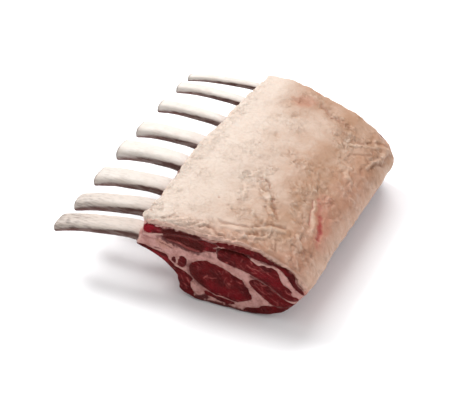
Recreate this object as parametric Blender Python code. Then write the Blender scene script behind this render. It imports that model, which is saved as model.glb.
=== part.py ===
"""Rack of lamb: eight frenched ribs, the fat on them, and each muscle that the cuts show.

Axes: +X from the rib tips across the loin to the back edge, +Y along the spine from the shoulder
cut to the loin cut, +Z up. The rack lies fat side up on the sawn chine surface, at z = 0.
The meat is drawn once, as a section seen on the shoulder cut, and lofted from cut to cut.
Lengths in the tables are millimetres; Blender objects are in metres.
"""

import math

import bmesh
import bpy
from mathutils import Vector

MM = 0.001
OBJECT_NAME = "rack_of_lamb"

# ---- driving dimensions -------------------------------------------------------------------
TIP_X = -103.3  # plane of the saw cut through the rib tips
LEFT_X = -46.5  # frenching line, where the ribs leave the meat
RIGHT_X = 71.5  # back edge of the fat
TOP_Z = 57.0  # thickness of the meat at the shoulder cut

SHOULDER_Y = -109.7  # shoulder cut at LEFT_X
SHOULDER_SLOPE = 0.05  # how much that cut runs back for each millimetre of x
LOIN_Y = 93.0  # loin cut at LEFT_X
LOIN_SLOPE = -0.25  # the loin cut follows the last rib, so it leans towards the shoulder

SIDE_BULGE = 10.5  # the frenching line bows out this far at mid length
BULGE_FOOT_Z = 35.0  # up to this height in full
BULGE_RISE = 12.0  # and over this much more height it falls
BULGE_LEAN = 0.45  # by this share
BULGE_FADE_X = (-15.0, -40.0)  # it grows from nothing to full between these
BACK_TAPER = 0.07  # share of its x that the back edge draws in by, at the loin cut
BACK_TAPER_Z = (12.0, 30.0)  # which grows from nothing to full between these
LOIN_DROP = 3.5  # the top sinks this much towards the loin cut
LOIN_EDGE_DROP = 4.4  # and this much more along both edges
CROWN_X = -8.0  # the highest line of the top
CROWN_HALF = 36.0  # from there to where the edge drop is full
TOP_WAVE = 0.9  # slow swell of the top along the rack

GAP = 0.35  # clearance between neighbouring solids
STATIONS = 6  # lengths that each loft is divided into
OVERSHOOT = 0.1  # share of one of them by which a cutter passes each cut

# ---- the shoulder cut, as (x, z); open lines go clockwise round the seam fat -----------------
LEFT_FACE = [(-46.2, 35.6), (-43.5, 41.0), (-41.7, 48.5)]
TOP_LINE = [
    (-41.0, 53.2), (-40.0, 56.0), (-36.5, TOP_Z), (-25.0, 57.4), (-8.0, 56.0), (8.0, 55.4),
    (24.0, 56.6), (38.0, 54.0), (52.0, 48.6), (63.0, 42.0), (69.5, 35.0), (RIGHT_X, 30.0),
]
FAT_LINE = [
    (-41.2, 52.6), (-36.0, 53.8), (-26.0, 53.9), (-12.0, 52.7), (6.0, 52.4), (24.0, 54.4),
    (37.0, 52.2), (48.0, 47.2), (58.0, 43.2), (64.5, 36.0), (70.2, 28.2),
]
BACK_FACE = [(67.0, 24.0), (62.5, 17.0), (57.8, 11.6)]
BASE_TOP = [(56.4, 11.0), (49.0, 10.2), (42.5, 9.6), (37.0, 8.4), (31.5, 4.6), (28.4, 0.6)]
BASE_UNDER = [(56.4, 10.0), (54.0, 7.6), (45.0, 3.0), (36.0, 0.7), (29.4, 0.0)]
FLAT = [(27.6, 0.0), (0.6, 0.0)]
RIB_TOP = [
    (0.2, 0.6), (-3.6, 4.4), (-6.8, 8.5), (-9.5, 14.0), (-12.0, 18.5), (-15.5, 21.8),
    (-20.5, 24.6), (-27.0, 28.8), (-34.0, 32.0), (-46.2, 34.6),
]
RIB_UNDER = [
    (LEFT_X, 33.6), (-40.0, 31.4), (-33.0, 28.4), (-26.0, 24.0), (-20.4, 18.5), (-18.2, 13.0),
    (-17.8, 7.0), (-14.0, 3.0), (-8.0, 1.0), (-1.6, 0.0),
]

# Muscles inside the seam fat. A flat one is a middle line of (x, z, half its thickness).
STRIP_MUSCLES = {
    "wedge_muscle": [
        (-40.2, 48.8, 1.0), (-37.0, 49.1, 2.6), (-25.0, 49.9, 2.0), (-12.0, 50.1, 1.1),
        (-2.5, 50.6, 0.3),
    ],
    "inner_strip_muscle": [
        (-26.5, 45.6, 0.4), (-17.0, 45.0, 1.6), (-8.0, 44.6, 2.9), (0.0, 45.6, 2.9),
        (5.0, 46.6, 1.9), (8.6, 47.2, 0.5),
    ],
    "outer_strip_muscle": [
        (8.0, 50.0, 0.4), (14.0, 50.2, 1.2), (24.0, 50.9, 2.1), (33.0, 49.6, 1.9),
        (41.0, 46.8, 1.4), (47.0, 44.5, 1.1), (53.0, 42.3, 1.2), (58.0, 39.1, 1.6),
        (61.0, 34.3, 1.7), (64.5, 29.8, 1.2), (67.6, 27.0, 0.5),
    ],
    "under_eye_muscle": [(1.5, 8.2, 0.3), (7.8, 5.2, 0.8), (13.5, 3.8, 0.7), (20.0, 3.1, 0.3)],
}
# A thick one is its outline.
THICK_MUSCLES = {
    "eye_muscle": [
        (-9.4, 24.0), (-6.5, 30.5), (1.0, 34.2), (8.0, 34.2), (16.0, 31.0), (24.0, 25.2),
        (29.5, 18.8), (33.0, 12.6), (29.0, 9.0), (20.5, 5.4), (8.0, 8.2), (-4.0, 15.4),
    ],
    "broad_muscle": [
        (10.2, 42.4), (14.0, 45.4), (24.0, 46.0), (33.0, 44.9), (41.0, 42.3), (49.0, 39.6),
        (54.0, 35.2), (55.5, 31.0), (59.0, 27.0), (63.3, 22.8), (60.0, 20.1), (53.5, 21.8),
        (46.0, 26.6), (37.5, 31.4), (27.0, 34.8), (18.0, 37.6), (12.5, 39.7),
    ],
    "side_muscle": [
        (31.5, 26.0), (36.5, 28.0), (43.0, 25.6), (50.0, 21.0), (57.0, 17.6), (59.6, 15.6),
        (56.0, 13.6), (50.0, 12.6), (45.0, 13.6), (40.0, 16.8), (35.0, 21.0),
    ],
}
# A round one is its middle and its two radii.
ROUND_MUSCLES = {
    "small_muscle_right": (-14.0, 29.6, 2.9, 3.9),
    "small_muscle_left": (-20.3, 29.9, 1.6, 1.8),
}
ROUND_SIDES = 8

# ---- the ribs -----------------------------------------------------------------------------
# The arch of every rib, from its sawn tip to its head beside the chine, as (x, z).
RIB_ARCH = [
    (TIP_X, 34.0), (-94.0, 36.4), (-83.0, 37.9), (-69.0, 38.9), (-56.0, 39.7), (-46.5, 39.4),
    (-39.0, 37.2), (-31.0, 32.2), (-23.0, 23.9), (-16.0, 14.4),
]
RIB_SIDES = 10
RIB_POWER = 2.6  # of the superellipse: 2 is an ellipse, more is boxier
RIB_SPREAD = 1.06  # the width and thickness at the meat, over those at the tip
RIB_HEAD = 0.78  # and at the head

# Each rib's y at the tip, at the frenching line and at the head, how far it lies above the arch
# at the tip and at that line, then its width and thickness.
RIBS = [
    (-108.2, -101.2, -96.4, -2.5, -0.4, 15.0, 7.8),
    (-82.0, -77.5, -75.0, -3.4, -0.2, 13.9, 9.2),
    (-54.0, -50.7, -49.6, -0.2, -0.2, 14.6, 8.2),
    (-22.5, -21.9, -21.6, 1.2, -0.1, 13.4, 9.0),
    (6.2, 6.1, 5.6, 1.3, -0.2, 11.9, 8.0),
    (38.1, 36.9, 34.0, 3.3, 0.4, 9.1, 7.1),
    (67.5, 64.7, 59.0, 1.7, 1.1, 7.4, 5.4),
    (85.5, 88.1, 77.0, 0.5, 1.3, 5.4, 4.4),
]

# ---- finishes: base colour and roughness ---------------------------------------------------
FINISHES = {
    "fat": ((0.80, 0.62, 0.49), 0.45),
    "seam": ((0.74, 0.47, 0.43), 0.40),
    "lean": ((0.24, 0.03, 0.03), 0.35),
    "bone": ((0.83, 0.78, 0.71), 0.50),
}


def material(name):
    """Principled material of one finish."""
    made = bpy.data.materials.get(name)
    if made:
        return made
    colour, roughness = FINISHES[name]
    made = bpy.data.materials.new(name)
    made.use_nodes = True
    shader = made.node_tree.nodes["Principled BSDF"]
    shader.inputs["Base Color"].default_value = (*colour, 1.0)
    shader.inputs["Roughness"].default_value = roughness
    shader.inputs["Metallic"].default_value = 0.0
    return made


# ---- outlines in the plane of the section ---------------------------------------------------
def catmull_rom(p0, p1, p2, p3, t):
    """Point at t between p1 and p2 of the curve through the four."""
    linear = (p2 - p0) * t
    square = (2 * p0 - 5 * p1 + 4 * p2 - p3) * t**2
    cube = (3 * p1 - p0 - 3 * p2 + p3) * t**3
    return 0.5 * (2 * p1 + linear + square + cube)


def smooth(points, steps, closed=False):
    """Points of a smooth curve through these ones, with so many steps from each to the next."""
    points = [Vector(p) for p in points]
    count = len(points)
    curve = []
    for i in range(count if closed else count - 1):
        near = [i - 1, i, i + 1, i + 2]
        if closed:
            near = [points[k % count] for k in near]
        else:
            near = [points[min(max(k, 0), count - 1)] for k in near]
        curve += [catmull_rom(*near, step / steps) for step in range(steps)]
    return curve if closed else curve + [points[-1]]


def offset(line, distance, closed=False):
    """The line moved to its left by distance, which is outwards on a clockwise outline."""
    moved = []
    for i, here in enumerate(line):
        before = line[i - 1] if i or closed else here
        after = line[(i + 1) % len(line)] if closed or i + 1 < len(line) else here
        sides = [Vector((-(b - a).y, (b - a).x)).normalized() for a, b in ((before, here), (here, after))]
        sides = [side for side in sides if side.length > 0]
        middle = sum(sides, Vector((0.0, 0.0))).normalized()
        moved.append(here + middle * distance / max(middle.dot(sides[0]), 0.4))
    return moved


def clockwise(ring):
    """The ring, turned round if it runs anticlockwise."""
    area = sum(a.x * b.y - b.x * a.y for a, b in zip(ring, ring[1:] + ring[:1]))
    return ring if area < 0 else ring[::-1]


def strip(middle_line):
    """Outline of a flat muscle round its middle line of (x, z, half its thickness)."""
    line = [Vector(p[:2]) for p in middle_line]
    halves = [p[2] for p in middle_line]
    sides = [side - here for side, here in zip(offset(line, 1.0), line)]
    upper = [here + side * half for here, side, half in zip(line, sides, halves)]
    lower = [here - side * half for here, side, half in zip(line, sides, halves)]
    return upper + lower[::-1]


def oval(x, z, half_width, half_height):
    """Outline of a round muscle."""
    turns = [2 * math.pi * k / ROUND_SIDES for k in range(ROUND_SIDES)]
    return [Vector((x + half_width * math.cos(a), z + half_height * math.sin(a))) for a in turns]


# ---- from the section into space --------------------------------------------------------------
def ramp(value, start, end):
    """0 at start, 1 at end, and a soft S between them."""
    t = min(max((value - start) / (end - start), 0.0), 1.0)
    return t * t * (3.0 - 2.0 * t)


def cut_y(x, share):
    """Y of the point at x in the section at this share of the way from shoulder to loin cut."""
    shoulder = SHOULDER_Y + SHOULDER_SLOPE * (x - LEFT_X)
    loin = LOIN_Y + LOIN_SLOPE * (x - LEFT_X)
    return shoulder + (loin - shoulder) * share


def share_at(x, y):
    """The share of the way from shoulder to loin cut at which the meat reaches this y."""
    start = cut_y(x, 0.0)
    return min(max((y - start) / (cut_y(x, 1.0) - start), 0.0), 1.0)


def swell(x, z, share):
    """(x, z) of the shoulder cut, carried to the section at this share of the length."""
    arc = math.sin(math.pi * share)
    reach = ramp(x, *BULGE_FADE_X) * ramp(x, TIP_X, LEFT_X)
    lean = 1.0 - BULGE_LEAN * ramp(z, BULGE_FOOT_Z, BULGE_FOOT_Z + BULGE_RISE)
    taper = BACK_TAPER * share * ramp(z, *BACK_TAPER_Z)
    moved_x = x - SIDE_BULGE * arc * reach * lean - taper * max(x, 0.0)
    drop = LOIN_DROP + LOIN_EDGE_DROP * ramp(abs(x - CROWN_X), 0.0, CROWN_HALF)
    wave = TOP_WAVE * math.sin(5.0 * math.pi * share) * arc
    return moved_x, z + (wave - drop * share) * z / TOP_Z


def section(ring, share):
    """The ring of the shoulder cut as points in space, at this share of the length."""
    points = []
    for x, z in ring:
        moved_x, moved_z = swell(x, z, share)
        points.append(Vector((moved_x, cut_y(moved_x, share), moved_z)) * MM)
    return points


def loft(name, rings, collection):
    """Closed solid through rings of equally many points, with a flat cap at each end.

    Its sides are triangles, whose diagonals run the same way on both sides of a seam.
    """
    mesh = bpy.data.meshes.new(name)
    body = bmesh.new()
    rows = [[body.verts.new(point) for point in ring] for ring in rings]
    for row, following in zip(rows, rows[1:]):
        for i in range(len(row)):
            a, b, c, d = row[i - 1], row[i], following[i], following[i - 1]
            halves = ((a, b, c), (a, c, d)) if a.co.x < b.co.x else ((a, b, d), (b, c, d))
            for half in halves:
                body.faces.new(half)
    body.faces.new(rows[0][::-1])
    body.faces.new(rows[-1])
    bmesh.ops.recalc_face_normals(body, faces=body.faces)
    body.to_mesh(mesh)
    body.free()
    made = bpy.data.objects.new(name, mesh)
    collection.objects.link(made)
    return made


def finish(made, surface, sharp_degrees):
    """Gives a solid its material and smooth shading with sharp edges."""
    made.data.materials.append(material(surface))
    made.data.shade_smooth()
    made.data.set_sharp_from_angle(angle=math.radians(sharp_degrees))
    return made


def layer(name, ring, surface, collection):
    """One layer of the meat, from the shoulder cut to the loin cut."""
    rings = [section(ring, k / STATIONS) for k in range(STATIONS + 1)]
    return finish(loft(name, rings, collection), surface, 40)


def cutter(name, ring, collection):
    """The space for a layer: wider all round by the clearance, and straight on past both cuts."""
    wide = offset(ring, GAP, closed=True)
    rings = [section(wide, k / STATIONS) for k in range(STATIONS + 1)]
    rings[0] = [here + (here - beyond) * OVERSHOOT for here, beyond in zip(rings[0], rings[1])]
    rings[-1] = [here + (here - beyond) * OVERSHOOT for here, beyond in zip(rings[-1], rings[-2])]
    return hidden(loft(name, rings, collection))


def hidden(helper):
    """A helper that shapes other objects and isn't one itself."""
    helper.hide_render = True
    helper.display_type = "WIRE"
    return helper


def cut(target, cutters):
    """Takes the solids of a collection out of the target."""
    boolean = target.modifiers.new("clearance", "BOOLEAN")
    boolean.operand_type = "COLLECTION"
    boolean.collection = cutters
    boolean.operation = "DIFFERENCE"
    boolean.solver = "EXACT"


def rib_rings(rib, grow):
    """Rings along one rib: a flat superellipse, its width along Y, square to the arch."""
    tip_y, neck_y, head_y, tip_lift, neck_lift, width, thickness = rib
    arch = [Vector(p) for p in RIB_ARCH]
    arch[-1] += (arch[-1] - arch[-2]).normalized() * grow
    rings = []
    for i, (x, z) in enumerate(arch):
        along = (arch[min(i + 1, len(arch) - 1)] - arch[max(i - 1, 0)]).normalized()
        if x < LEFT_X:
            part = (x - TIP_X) / (LEFT_X - TIP_X)
            y = tip_y + (neck_y - tip_y) * part
            lift = tip_lift + (neck_lift - tip_lift) * part
            scale = 1.0 + (RIB_SPREAD - 1.0) * part
        else:
            part = (x - LEFT_X) / (arch[-1].x - LEFT_X)
            y = neck_y + (head_y - neck_y) * part
            lift = neck_lift * (1.0 - part)
            scale = RIB_SPREAD + (RIB_HEAD - RIB_SPREAD) * part
        half_width = width / 2 * scale + grow
        half_thickness = thickness / 2 * scale + grow
        middle_x, middle_z = swell(x, z, share_at(x, y))
        middle_z += lift
        ring = []
        for k in range(RIB_SIDES):
            angle = 2 * math.pi * (k + 0.5) / RIB_SIDES
            c, s = math.cos(angle), math.sin(angle)
            across = half_width * math.copysign(abs(c) ** (2 / RIB_POWER), c)
            up = half_thickness * math.copysign(abs(s) ** (2 / RIB_POWER), s)
            ring.append(Vector((middle_x - along.y * up, y + across, middle_z + along.x * up)) * MM)
        rings.append(ring)
    return rings


def build_ribs(parts, cutters):
    """Eight ribs, and the channel that each one lies in."""
    for number, rib in enumerate(RIBS, 1):
        finish(loft(f"rib_{number}", rib_rings(rib, 0.0), parts), "bone", 50)
        hidden(loft(f"rib_channel_{number}", rib_rings(rib, GAP), cutters))


def build_meat(parts, muscle_cutters, rib_cutters):
    """The fat, the seam fat with its muscles, and the two muscles that lie on the underside."""
    top = smooth(TOP_LINE, 2)
    fat_line = smooth(FAT_LINE, 2)
    rib_top = smooth(RIB_TOP, 1)
    base_top = smooth(BASE_TOP, 1)
    layer("fat_cap", clockwise(top + fat_line[::-1]), "fat", parts)
    rib_muscle = layer("rib_muscle", clockwise(smooth(RIB_UNDER, 1) + rib_top), "lean", parts)
    layer("base_muscle", clockwise(base_top + smooth(BASE_UNDER, 1)[::-1]), "lean", parts)

    outline = smooth(LEFT_FACE, 1) + offset(fat_line, -GAP)[:-1] + smooth(BACK_FACE, 1)
    outline += offset(base_top, -GAP) + [Vector(p) for p in FLAT] + offset(rib_top, -GAP)[:-1]
    seam = layer("seam_fat", clockwise(outline), "seam", parts)

    outlines = {name: strip(line) for name, line in STRIP_MUSCLES.items()}
    outlines |= {name: [Vector(p) for p in points] for name, points in THICK_MUSCLES.items()}
    outlines |= {name: oval(*shape) for name, shape in ROUND_MUSCLES.items()}
    outlines["eye_muscle"] = smooth(outlines["eye_muscle"], 2, closed=True)
    for name, ring in outlines.items():
        layer(name, clockwise(ring), "lean", parts)
        cutter(f"{name}_space", clockwise(ring), muscle_cutters)
    cut(seam, muscle_cutters)
    cut(seam, rib_cutters)
    cut(rib_muscle, rib_cutters)


def stand_on_origin(parts):
    """An empty that carries everything, at the middle of the underside of its box."""
    bpy.context.view_layer.update()
    corners = [o.matrix_world @ Vector(c) for o in parts.objects for c in o.bound_box]
    low = [min(c[axis] for c in corners) for axis in range(3)]
    high = [max(c[axis] for c in corners) for axis in range(3)]
    root = bpy.data.objects.new(OBJECT_NAME + "_origin", None)
    parts.objects.link(root)
    root.location = (-(low[0] + high[0]) / 2, -(low[1] + high[1]) / 2, -low[2])
    return root


def new_collection(name):
    """A collection of the scene."""
    made = bpy.data.collections.new(name)
    bpy.context.scene.collection.children.link(made)
    return made


def main():
    for old in list(bpy.data.objects):
        bpy.data.objects.remove(old)
    parts = new_collection(OBJECT_NAME)
    muscle_cutters = new_collection("muscle_spaces")
    rib_cutters = new_collection("rib_channels")
    build_ribs(parts, rib_cutters)
    build_meat(parts, muscle_cutters, rib_cutters)
    root = stand_on_origin(parts)
    for group in (parts, muscle_cutters, rib_cutters):
        for made in group.objects:
            if made != root:
                made.parent = root


main()
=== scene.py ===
"""Rack of lamb: the fine surface, the finishes, the light and the camera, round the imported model.

The meat is drawn once, as a section on the shoulder cut, and carried from there to the loin cut.
Section places are (x, z) on that cut and a share, 0 to 1, of the way to the other cut.
Places on the fat are (x, y) of the frame. Lengths are millimetres until a mesh is made.
"""

import logging
import math
from collections.abc import Iterable
from dataclasses import dataclass, field
from enum import Enum
from functools import cached_property

import bmesh
import bpy
import numpy as np
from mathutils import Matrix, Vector
from mathutils.geometry import delaunay_2d_cdt
from mathutils.kdtree import KDTree


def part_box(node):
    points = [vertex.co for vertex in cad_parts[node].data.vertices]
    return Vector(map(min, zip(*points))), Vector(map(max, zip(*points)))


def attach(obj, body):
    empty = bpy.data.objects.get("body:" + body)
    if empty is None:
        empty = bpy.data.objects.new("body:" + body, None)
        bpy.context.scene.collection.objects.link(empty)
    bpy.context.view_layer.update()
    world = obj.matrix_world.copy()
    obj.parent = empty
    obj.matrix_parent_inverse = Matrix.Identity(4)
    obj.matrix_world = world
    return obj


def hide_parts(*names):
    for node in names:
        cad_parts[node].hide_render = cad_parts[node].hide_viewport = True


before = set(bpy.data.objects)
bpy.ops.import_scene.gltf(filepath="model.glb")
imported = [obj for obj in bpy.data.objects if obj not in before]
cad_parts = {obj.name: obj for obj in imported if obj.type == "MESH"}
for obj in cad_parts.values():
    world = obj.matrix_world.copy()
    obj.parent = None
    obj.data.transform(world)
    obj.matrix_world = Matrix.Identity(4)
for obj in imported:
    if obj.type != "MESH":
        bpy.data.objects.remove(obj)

MM = 0.001
BODY = "root"
LATTICE = 256  # cells after which a random field repeats
ROUND = (1.0, 1.0, 1.0)
Line = tuple[tuple[float, ...], ...]
log = logging.getLogger("rack_of_lamb")


class Tint(Enum):
    """Masks that a mesh carries for its finish, by the name of their attribute."""

    PALE = "pale"  # fat and silverskin in lean meat
    LEAN = "lean"  # lean meat in fat
    DARK = "dark"  # painted shade in creases, grooves, pits and recesses, and darker meat
    BRIGHT = "bright"  # freshly cut, crimson meat
    TAN = "tan"  # fat that has dried
    PINK = "pink"  # fat with meat close under it
    RED = "red"  # blood
    SILVER = "silver"  # membranes and silverskin, and painted highlights on the fat's ridges and lump tops
    CUT = "cut"  # how near a place is to a cut face
    CRINKLE = "crinkle"  # how wrinkled the skin of the fat is
    EDGE = "edge"  # how near a place on a cut is to its layer's edge


class Slot(Enum):
    """Material slots of the record."""

    FAT = "fat"
    SEAM = "seam_fat"
    LEAN = "lean"
    BONE = "bone"


def placed(name: str, data: bpy.types.ID) -> bpy.types.Object:
    """A new object in the scene, with this mesh, light or camera."""
    thing = bpy.data.objects.new(name, data)
    bpy.context.scene.collection.objects.link(thing)
    return thing


# ---- random fields -------------------------------------------------------------------------
def hashed(cell: np.ndarray, table: np.ndarray) -> np.ndarray:
    """A row of the random numbers for each cell of a lattice."""
    x, y, z = cell.T % LATTICE
    return table[(table[(table[x] + y) % LATTICE] + z) % LATTICE]


def ramp(value: np.ndarray, start: float, end: float) -> np.ndarray:
    """0 at start, 1 at end, and a soft S between them."""
    t = np.clip((np.asarray(value, float) - start) / (end - start), 0.0, 1.0)
    return t * t * (3.0 - 2.0 * t)


@dataclass(frozen=True)
class Noise:
    """A smooth random field in space, the same on every run.

    Places are points, one a row, in millimetres. Size is the width of a lump or a cell, and
    stretch how much longer it is along each axis.
    """

    seed: int

    def at(self, places: np.ndarray, size: float, stretch: tuple = ROUND) -> np.ndarray:
        """Gradient noise: a value from about -1 to 1 for each place."""
        source = np.random.default_rng(self.seed)
        table = source.permutation(LATTICE)
        slopes = source.normal(size=(LATTICE, 3))
        slopes /= np.linalg.norm(slopes, axis=1, keepdims=True)
        spots = places / (np.array(stretch) * size)
        cell = np.floor(spots).astype(np.int64)
        inside = spots - cell
        fade = inside**3 * (inside * (inside * 6.0 - 15.0) + 10.0)
        total = np.zeros(len(places))
        for corner in np.ndindex(2, 2, 2):
            slope = slopes[hashed(cell + corner, table)]
            weight = np.prod(np.where(corner, fade, 1.0 - fade), axis=1)
            total += weight * np.einsum("ij,ij->i", slope, inside - corner)
        return total * 1.6

    def rough(self, places: np.ndarray, size: float, octaves: int = 3, stretch: tuple = ROUND) -> np.ndarray:
        """Noise with finer noise on it, whose lumps halve this many times."""
        total = sum(
            Noise(self.seed + k).at(places, size / 2**k, stretch) / 2**k for k in range(octaves)
        )
        return total / (2.0 - 0.5 ** (octaves - 1))

    def creases(self, places: np.ndarray, size: float, stretch: tuple = ROUND) -> np.ndarray:
        """Sharp ridges: 1 along thin winding lines, and 0 away from them."""
        return np.clip(1.0 - 5.0 * np.abs(self.at(places, size, stretch)), 0.0, 1.0) ** 2

    def cells(self, places: np.ndarray, size: float, stretch: tuple = ROUND) -> tuple[np.ndarray, np.ndarray]:
        """Cells packed side by side, each with a slope of its own.

        Args:
            places: points, one a row, in millimetres.
            size: width of one cell.
            stretch: how much longer the cells are along each axis.

        Returns:
            How far each point is from the border of its cell, and its height on the cell's slope.
        """
        source = np.random.default_rng(self.seed)
        table = source.permutation(LATTICE)
        centres = source.random((LATTICE, 3))
        slopes = source.normal(size=(LATTICE, 3))
        spots = places / (np.array(stretch) * size)
        cell = np.floor(spots).astype(np.int64)
        first, second = np.full((2, len(places)), 9.0)
        height = np.zeros(len(places))
        for corner in np.ndindex(3, 3, 3):
            here = cell + corner - 1
            key = hashed(here, table)
            offset = spots - (here + centres[key])
            away = np.linalg.norm(offset, axis=1)
            height = np.where(away < first, np.einsum("ij,ij->i", offset, slopes[key]), height)
            second = np.minimum(second, np.maximum(first, away))
            first = np.minimum(first, away)
        return second - first, height

    def curds(self, places: np.ndarray, size: float, stretch: tuple = ROUND) -> np.ndarray:
        """Soft lumps: 1 on top of each, and 0 in the creases between them."""
        return ramp(self.cells(places, size, stretch)[0], -0.06, 0.5)

    def flakes(self, places: np.ndarray, size: float, stretch: tuple = ROUND) -> np.ndarray:
        """Tilted flakes, from about -1 to 1, with a step where one ends and the next begins."""
        gap, height = self.cells(places, size, stretch)
        return np.clip(1.3 * height, -1.0, 1.0) * ramp(gap, 0.0, 0.14)


# ---- lines and outlines in a plane ------------------------------------------------------------
def pairs(*numbers: float) -> Line:
    """The corners of a line, from their two coordinates written one after another."""
    return tuple(zip(numbers[::2], numbers[1::2]))


def distance_to_line(places: np.ndarray, line: Line) -> np.ndarray:
    """Distance from each place to a line of straight stretches; one corner alone is a dot."""
    corners = np.array(line, float)
    if len(corners) == 1:
        return np.linalg.norm(places - corners[0], axis=1)
    best = np.full(len(places), np.inf)
    for start, end in zip(corners, corners[1:]):
        run = end - start
        t = np.clip((places - start) @ run / (run @ run), 0.0, 1.0)
        best = np.minimum(best, np.linalg.norm(places - start - t[:, None] * run, axis=1))
    return best


def nearest(places: np.ndarray, others: np.ndarray) -> tuple[np.ndarray, np.ndarray]:
    """The row of the nearest of the others to each place in the plane, and how far off it is."""
    tree = KDTree(len(others))
    for k, (x, z) in enumerate(others):
        tree.insert((x, z, 0.0), k)
    tree.balance()
    found = [tree.find((x, z, 0.0)) for x, z in places]
    return np.array([row for _, row, _ in found]), np.array([away for _, _, away in found])


def resample(loop: np.ndarray, spacing: float) -> np.ndarray:
    """A closed loop's points, spread evenly along it at about this spacing."""
    closed = np.vstack([loop, loop[:1]])
    along = np.concatenate([[0.0], np.cumsum(np.linalg.norm(np.diff(closed, axis=0), axis=1))])
    steps = np.linspace(0.0, along[-1], max(int(along[-1] / spacing), 8), endpoint=False)
    return np.stack([np.interp(steps, along, closed[:, k]) for k in range(2)], axis=1)


def rounded(corners: Line, softness: float, spacing: float) -> np.ndarray:
    """Points at this spacing along a closed outline whose corners are rounded off."""
    fine = resample(np.array(corners, float), softness / 4.0)
    reach = np.arange(-12, 13)
    weights = np.exp(-0.5 * (reach / 4.0) ** 2)
    weights /= weights.sum()
    return resample(sum(w * np.roll(fine, k, axis=0) for w, k in zip(weights, reach)), spacing)


def inside(places: np.ndarray, loop: np.ndarray) -> np.ndarray:
    """Which places lie inside a closed loop."""
    result = np.zeros(len(places), bool)
    x, z = places.T
    for (ax, az), (bx, bz) in zip(loop, np.roll(loop, -1, axis=0)):
        if az != bz:
            result ^= ((az > z) != (bz > z)) & (x < (bx - ax) * (z - az) / (bz - az) + ax)
    return result


def doubled_areas(points: np.ndarray, triangles: np.ndarray) -> np.ndarray:
    """Twice the area of each triangle, below 0 where its corners run clockwise."""
    a, b, c = points[triangles].transpose(1, 0, 2)
    return (b - a)[:, 0] * (c - a)[:, 1] - (b - a)[:, 1] * (c - a)[:, 0]


# ---- the meat's form -------------------------------------------------------------------------
@dataclass
class RackShape:
    """How the section on the shoulder cut is carried to the loin cut."""

    tip_x: float = -103.3
    left_x: float = -46.5
    right_x: float = 71.5
    top_z: float = 57.0
    shoulder_y: float = -109.7
    shoulder_slope: float = 0.05
    loin_y: float = 93.0
    loin_slope: float = -0.25
    side_bulge: float = 10.5
    bulge_foot_z: float = 35.0
    bulge_rise: float = 12.0
    bulge_lean: float = 0.45
    bulge_fade: tuple = (-15.0, -40.0)
    back_taper: float = 0.07
    back_taper_z: tuple = (12.0, 30.0)
    loin_drop: float = 3.5
    loin_edge_drop: float = 4.4
    crown_x: float = -8.0
    crown_half: float = 36.0
    top_wave: float = 0.9

    @cached_property
    def origin(self) -> np.ndarray:
        """Where the section's zero lies in the frame, from the back of the fat and the shoulder cut."""
        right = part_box("fat_cap")[1].x / MM
        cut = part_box("rib_muscle")[0].y / MM
        return np.array([right - self.right_x, cut - self.shoulder_y, 0.0])

    def cut_y(self, x: np.ndarray, share: np.ndarray) -> np.ndarray:
        """Y of the points at x in the section at this share of the length."""
        shoulder = self.shoulder_y + self.shoulder_slope * (x - self.left_x)
        loin = self.loin_y + self.loin_slope * (x - self.left_x)
        return shoulder + (loin - shoulder) * share

    def share_at(self, x: float, y: float) -> float:
        """The share of the length at which the meat reaches this y."""
        start = self.cut_y(x, 0.0)
        return min(max((y - start) / (self.cut_y(x, 1.0) - start), 0.0), 1.0)

    def swell(self, x: np.ndarray, z: np.ndarray, share: np.ndarray) -> tuple[np.ndarray, np.ndarray]:
        """(x, z) of the shoulder cut, carried to the section at this share of the length."""
        arc = np.sin(math.pi * share)
        reach = ramp(x, *self.bulge_fade) * ramp(x, self.tip_x, self.left_x)
        lean = 1.0 - self.bulge_lean * ramp(z, self.bulge_foot_z, self.bulge_foot_z + self.bulge_rise)
        taper = self.back_taper * share * ramp(z, *self.back_taper_z)
        drop = self.loin_drop + self.loin_edge_drop * ramp(np.abs(x - self.crown_x), 0.0, self.crown_half)
        wave = self.top_wave * np.sin(5.0 * math.pi * share) * arc
        moved_x = x - self.side_bulge * arc * reach * lean - taper * np.maximum(x, 0.0)
        return moved_x, z + (wave - drop * share) * z / self.top_z

    def place(self, x: np.ndarray, z: np.ndarray, share: np.ndarray) -> np.ndarray:
        """Points in the frame, one a row, for places in the section."""
        moved_x, moved_z = self.swell(x, z, share)
        return np.stack([moved_x, self.cut_y(moved_x, share), moved_z], axis=-1) + self.origin


# Outline of the whole section, clockwise from the foot of the left face.
OUTLINE = pairs(
    -46.2, 35.6, -43.5, 41, -41.7, 48.5, -41, 53.2, -40, 56, -36.5, 57, -30, 57.4, -25, 57.4, -16, 56.8, -8,
    56, 0, 55.5, 8, 55.4, 17, 56.3, 24, 56.6, 31, 55.8, 38, 54, 52, 48.6, 58, 45.6, 63, 42, 66.7, 38.6,
    69.5, 35, 71, 32.2, 71.5, 30, 70, 27.8, 67, 24, 62.5, 17, 57.8, 11.6, 54, 7.6, 45, 3, 36, 0.7, 29.4, 0,
    0.6, 0, -2, 0, -8, 1, -14, 3, -17.6, 6.4, -17.2, 9.4, -18.2, 13, -18.4, 16.6, -20.4, 18.8, -26, 24, -33,
    28.4, -40, 31.4, -46.8, 33.6,
)


@dataclass(frozen=True)
class Region:
    """One layer's share of the cut: what lies inside its outline and in no region before it."""

    node: str
    outline: Line
    bulge: float = 0.0  # how far its middle stands out of the cut
    ragged: float = 0.3  # how far its edge wanders
    softness: float = 0.8  # how far its corners are rounded
    slot: Slot = Slot.LEAN


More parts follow.
